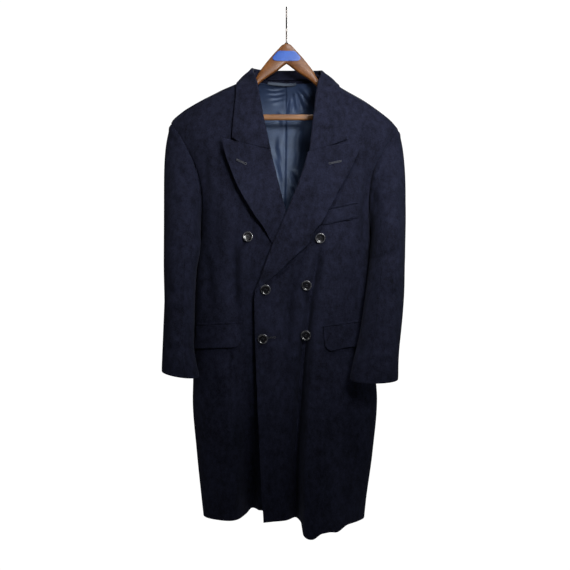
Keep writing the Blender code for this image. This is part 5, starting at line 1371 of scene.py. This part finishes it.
def satin_material(name, dark, light, rough):
    """Lining: fine warp-faced satin with a soft gloss along its folds."""
    m, t, b = shader(name)
    at = t.nodes.new("ShaderNodeTexCoord").outputs["Object"]
    warp = noise(t, stretched(t, at, (1.0, 1.0, 0.05)), 2600, 2.0, 0.5)
    cloud = noise(t, at, 30, 3.0, 0.5)
    t.links.new(ramp(t, blend_values(t, warp, cloud, 0.55), [(0.3, dark), (0.7, light)]), b.inputs["Base Color"])
    gloss = t.nodes.new("ShaderNodeMapRange")
    gloss.inputs["To Min"].default_value, gloss.inputs["To Max"].default_value = rough - 0.05, rough + 0.08
    t.links.new(warp, gloss.inputs["Value"])
    t.links.new(gloss.outputs["Result"], b.inputs["Roughness"])
    b.inputs["Specular IOR Level"].default_value = 0.32
    b.inputs["Specular Tint"].default_value = (0.70, 0.84, 1.0, 1)
    b.inputs["Sheen Weight"].default_value = 0.10
    b.inputs["Sheen Tint"].default_value = (0.5, 0.58, 0.8, 1)
    t.links.new(bump(t, warp, 0.18, 0.0003), b.inputs["Normal"])
    return m


def horn_material(name, dark, mid, light):
    m, t, b = shader(name)
    at = t.nodes.new("ShaderNodeTexCoord").outputs["Object"]
    streak = noise(t, stretched(t, at, (1.0, 0.4, 0.5)), 190, 5.0, 0.65)
    t.links.new(ramp(t, streak, [(0.32, dark), (0.55, mid), (0.75, light)]),
                b.inputs["Base Color"])
    b.inputs["Roughness"].default_value = 0.22
    b.inputs["Specular IOR Level"].default_value = 0.55
    b.inputs["Coat Weight"].default_value = 0.5
    b.inputs["Coat Roughness"].default_value = 0.08
    t.links.new(bump(t, noise(t, at, 900, 2.0), 0.05, 0.0002), b.inputs["Normal"])
    return m


def timber_material(name, dark, mid, light, along):
    """Varnished beech: long grain with short darker flecks."""
    m, t, b = shader(name)
    at = t.nodes.new("ShaderNodeTexCoord").outputs["Object"]
    grain = noise(t, stretched(t, at, along), 150, 6.0, 0.65)
    fleck = noise(t, stretched(t, at, [4 * v for v in along]), 260, 3.0, 0.5)
    cloud = noise(t, at, 18, 2.0, 0.5)
    tone = blend_values(t, blend_values(t, grain, fleck, 0.35), cloud, 0.30)
    t.links.new(ramp(t, tone, [(0.30, dark), (0.50, mid), (0.70, light)]), b.inputs["Base Color"])
    b.inputs["Roughness"].default_value = 0.38
    b.inputs["Specular IOR Level"].default_value = 0.3
    b.inputs["Coat Weight"].default_value = 0.18
    b.inputs["Coat Roughness"].default_value = 0.14
    t.links.new(bump(t, grain, 0.12, 0.0006), b.inputs["Normal"])
    return m


def steel_material():
    m, t, b = shader("polished_wire")
    at = t.nodes.new("ShaderNodeTexCoord").outputs["Object"]
    wear = noise(t, at, 160, 4.0, 0.6)
    t.links.new(ramp(t, wear, [(0.35, (0.13, 0.10, 0.085)), (0.65, (0.40, 0.36, 0.32))]), b.inputs["Base Color"])
    rough = t.nodes.new("ShaderNodeMapRange")
    rough.inputs["To Min"].default_value, rough.inputs["To Max"].default_value = 0.14, 0.34
    t.links.new(wear, rough.inputs["Value"])
    t.links.new(rough.outputs["Result"], b.inputs["Roughness"])
    b.inputs["Metallic"].default_value = 1.0
    return m


def blue_material():
    m, t, b = shader("blue_enamel")
    at = t.nodes.new("ShaderNodeTexCoord").outputs["Object"]
    cloud = noise(t, at, 60, 3.0, 0.5)
    t.links.new(ramp(t, cloud, [(0.3, (0.012, 0.068, 0.34)), (0.7, (0.022, 0.105, 0.48))]), b.inputs["Base Color"])
    b.inputs["Roughness"].default_value = 0.32
    b.inputs["Coat Weight"].default_value = 0.15
    t.links.new(bump(t, noise(t, at, 700, 2.0), 0.06, 0.0002), b.inputs["Normal"])
    return m


def thread_material(name, dark, light):
    m, t, b = shader(name)
    at = t.nodes.new("ShaderNodeTexCoord").outputs["Object"]
    twist = noise(t, at, 1800, 3.0, 0.6)
    t.links.new(ramp(t, twist, [(0.3, dark), (0.7, light)]), b.inputs["Base Color"])
    b.inputs["Roughness"].default_value = 0.6
    t.links.new(bump(t, twist, 0.3, 0.0003), b.inputs["Normal"])
    return m


# ---------------------------------------------------------------- build
def declare(piece, nodes):
    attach(piece, "root")
    if nodes:
        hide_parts(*nodes)


def plain(piece, nodes=()):
    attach(piece, "root")
    if nodes:
        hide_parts(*nodes)


def main():
    wool = wool_material("navy_wool", (0.0018, 0.0021, 0.0050), (0.0165, 0.0188, 0.0400), 0.03)
    satin = satin_material("slate_satin", (0.013, 0.022, 0.050), (0.030, 0.048, 0.104), 0.46)
    tape = satin_material("loop_satin", (0.020, 0.026, 0.042), (0.040, 0.050, 0.076), 0.48)
    horn = horn_material("polished_horn", (0.003, 0.003, 0.004), (0.007, 0.007, 0.009), (0.020, 0.019, 0.020))
    # paler horn for the button rims: partly the horn's own paler polish, partly a painted highlight
    rim = horn_material("pale_horn_painted_highlight", (0.022, 0.023, 0.027), (0.052, 0.054, 0.062), (0.100, 0.102, 0.112))
    timber = timber_material("varnished_beech", (0.060, 0.018, 0.004), (0.160, 0.058, 0.014), (0.26, 0.105, 0.030), (0.35, 1.0, 0.35))
    rail = timber_material("varnished_bar", (0.10, 0.038, 0.010), (0.19, 0.080, 0.024), (0.27, 0.125, 0.042), (0.10, 1.0, 1.2))
    steel = steel_material()
    blue = blue_material()
    thread = thread_material("navy_thread", (0.010, 0.011, 0.016), (0.028, 0.030, 0.042))
    pale = thread_material("buttonhole_thread", (0.030, 0.032, 0.042), (0.075, 0.080, 0.098))
    coat, lined = [wool], [wool, satin]

    fronts = {s: make_front(s, lined) for s in (1, -1)}
    backs = {s: make_back(s, lined) for s in (1, -1)}
    declare(fronts[1], ["front_left"])
    declare(fronts[-1], ["front_right"])
    declare(backs[1], ["back_left"])
    declare(backs[-1], ["back_right"])

    holes = {1: make_buttonhole("sewn_hole_lapel_left", on_lapel(1), (133, -393.5), (102, -400), 0, [pale]),
             -1: make_buttonhole("sewn_hole_lapel_right", on_lapel(-1), (-121, -391), (-96, -402), 0, [pale])}
    for s, word in ((1, "left"), (-1, "right")):
        lapel = make_lapel(s, coat)
        plain(holes[s])
        declare(lapel, ["lapel_" + word])
    collar = make_collar(coat)
    declare(collar, ["collar_fall", "collar_stand"])

    for s, word in ((1, "left"), (-1, "right")):
        upper, under = make_sleeve(s, "upper", lined), make_sleeve(s, "under", lined)
        declare(upper, ["sleeve_upper_" + word])
        declare(under, ["sleeve_under_" + word])
        flap, jet = make_flap(s, coat)
        declare(flap, ["pocket_flap_" + word])
        declare(jet, ["pocket_jet_" + word])
    welt = make_welt(coat)
    declare(welt, ["chest_welt"])

    for name, disc, sewn in make_buttons(horn, rim, thread):
        plain(disc, ["button_" + name])
        plain(sewn)
    slit = make_buttonhole("sewn_hole_low_right", lambda x, z, off: lifted(over_s, x, z, off), (-62, -820), (-26, -819), 0, [thread])
    plain(slit)

    lining = make_lining([satin])
    declare(lining, ["lining_back"])
    loop = make_loop([tape])
    declare(loop, ["hanger_loop"])

    plain(make_hanger([timber]), ["hanger_wood"])
    plain(make_bar([rail]), ["hanger_bar"])
    plain(make_hook([steel]), ["hanger_hook"])
    plain(make_ferrule([steel]))
    plain(make_label([blue]), ["hanger_label"])


# ---------------------------------------------------------------- stage, light and camera
def area_light(name, place, aim, size, power, colour=(1, 1, 1)):
    data = bpy.data.lights.new(name, "AREA")
    data.shape, data.size, data.size_y, data.energy, data.color = "RECTANGLE", size[0], size[1], power, colour
    obj = bpy.data.objects.new(name, data)
    obj.location = place
    obj.rotation_euler = (Vector(aim) - Vector(place)).to_track_quat("-Z", "Y").to_euler()
    obj.visible_camera = False
    bpy.context.scene.collection.objects.link(obj)
    return obj


def stage():
    floor_m, t, b = shader("pale_floor")
    at = t.nodes.new("ShaderNodeTexCoord").outputs["Object"]
    t.links.new(ramp(t, noise(t, at, 3, 2.0), [(0.3, (0.80, 0.80, 0.80)), (0.7, (0.84, 0.84, 0.84))]), b.inputs["Base Color"])
    b.inputs["Roughness"].default_value = 0.9
    b.inputs["Emission Color"].default_value = (1, 1, 1, 1)
    b.inputs["Emission Strength"].default_value = 0.15
    ring = [(1.1 * math.cos(a), 1.1 * math.sin(a), -1.75) for a in np.linspace(0, 2 * math.pi, 96, endpoint=False)]
    mesh = bpy.data.meshes.new("floor")
    mesh.from_pydata(ring, [], [tuple(range(96))])
    mesh.materials.append(floor_m)
    floor = bpy.data.objects.new("floor", mesh)
    bpy.context.scene.collection.objects.link(floor)

    world = bpy.data.worlds.new("studio")
    bpy.context.scene.world = world
    world.use_nodes = True
    w = world.node_tree
    w.nodes.clear()
    out = w.nodes.new("ShaderNodeOutputWorld")
    mix = w.nodes.new("ShaderNodeMixShader")
    seen, lit = w.nodes.new("ShaderNodeBackground"), w.nodes.new("ShaderNodeBackground")
    seen.inputs["Color"].default_value, seen.inputs["Strength"].default_value = (1, 1, 1, 1), 1.05
    lit.inputs["Color"].default_value, lit.inputs["Strength"].default_value = (0.90, 0.95, 1.0, 1), 0.022
    path = w.nodes.new("ShaderNodeLightPath")
    w.links.new(path.outputs["Is Camera Ray"], mix.inputs["Fac"])
    w.links.new(lit.outputs["Background"], mix.inputs[1])
    w.links.new(seen.outputs["Background"], mix.inputs[2])
    w.links.new(mix.outputs["Shader"], out.inputs["Surface"])

    area_light("key", (0.28, -0.74, 0.46), (0.03, 0.0, -0.42), (0.50, 0.32), 6.5)
    front = area_light("front", (0.50, -1.65, 0.0), (0.07, 0.0, -0.38), (0.40, 0.40), 2.3)
    front.data.spread = math.radians(48)
    area_light("left", (-1.45, -0.35, 0.05), (-0.24, 0.0, -0.55), (0.50, 0.80), 3.8, (1.0, 0.97, 0.94))
    area_light("right", (1.45, -0.35, 0.05), (0.24, 0.0, -0.60), (0.50, 0.80), 4.6, (0.94, 0.97, 1.0))
    area_light("rear", (0.2, 1.35, 0.42), (0.0, 0.0, -0.55), (0.8, 0.5), 13.0)

    cam = bpy.data.cameras.new("photo_view")
    cam.sensor_fit = "HORIZONTAL"
    cam.angle = 2 * math.atan(0.5 * 570 * 2.5 / 2400)
    cam.clip_start, cam.clip_end = 0.05, 100
    obj = bpy.data.objects.new("photo_view", cam)
    obj.location = (-0.00375, -2.4, -0.6925)
    obj.rotation_euler = (math.pi / 2, 0, 0)
    bpy.context.scene.collection.objects.link(obj)
    bpy.context.scene.camera = obj
    view = bpy.context.scene.view_settings
    view.view_transform = "Standard"
    view.look = "None"


main()
stage()
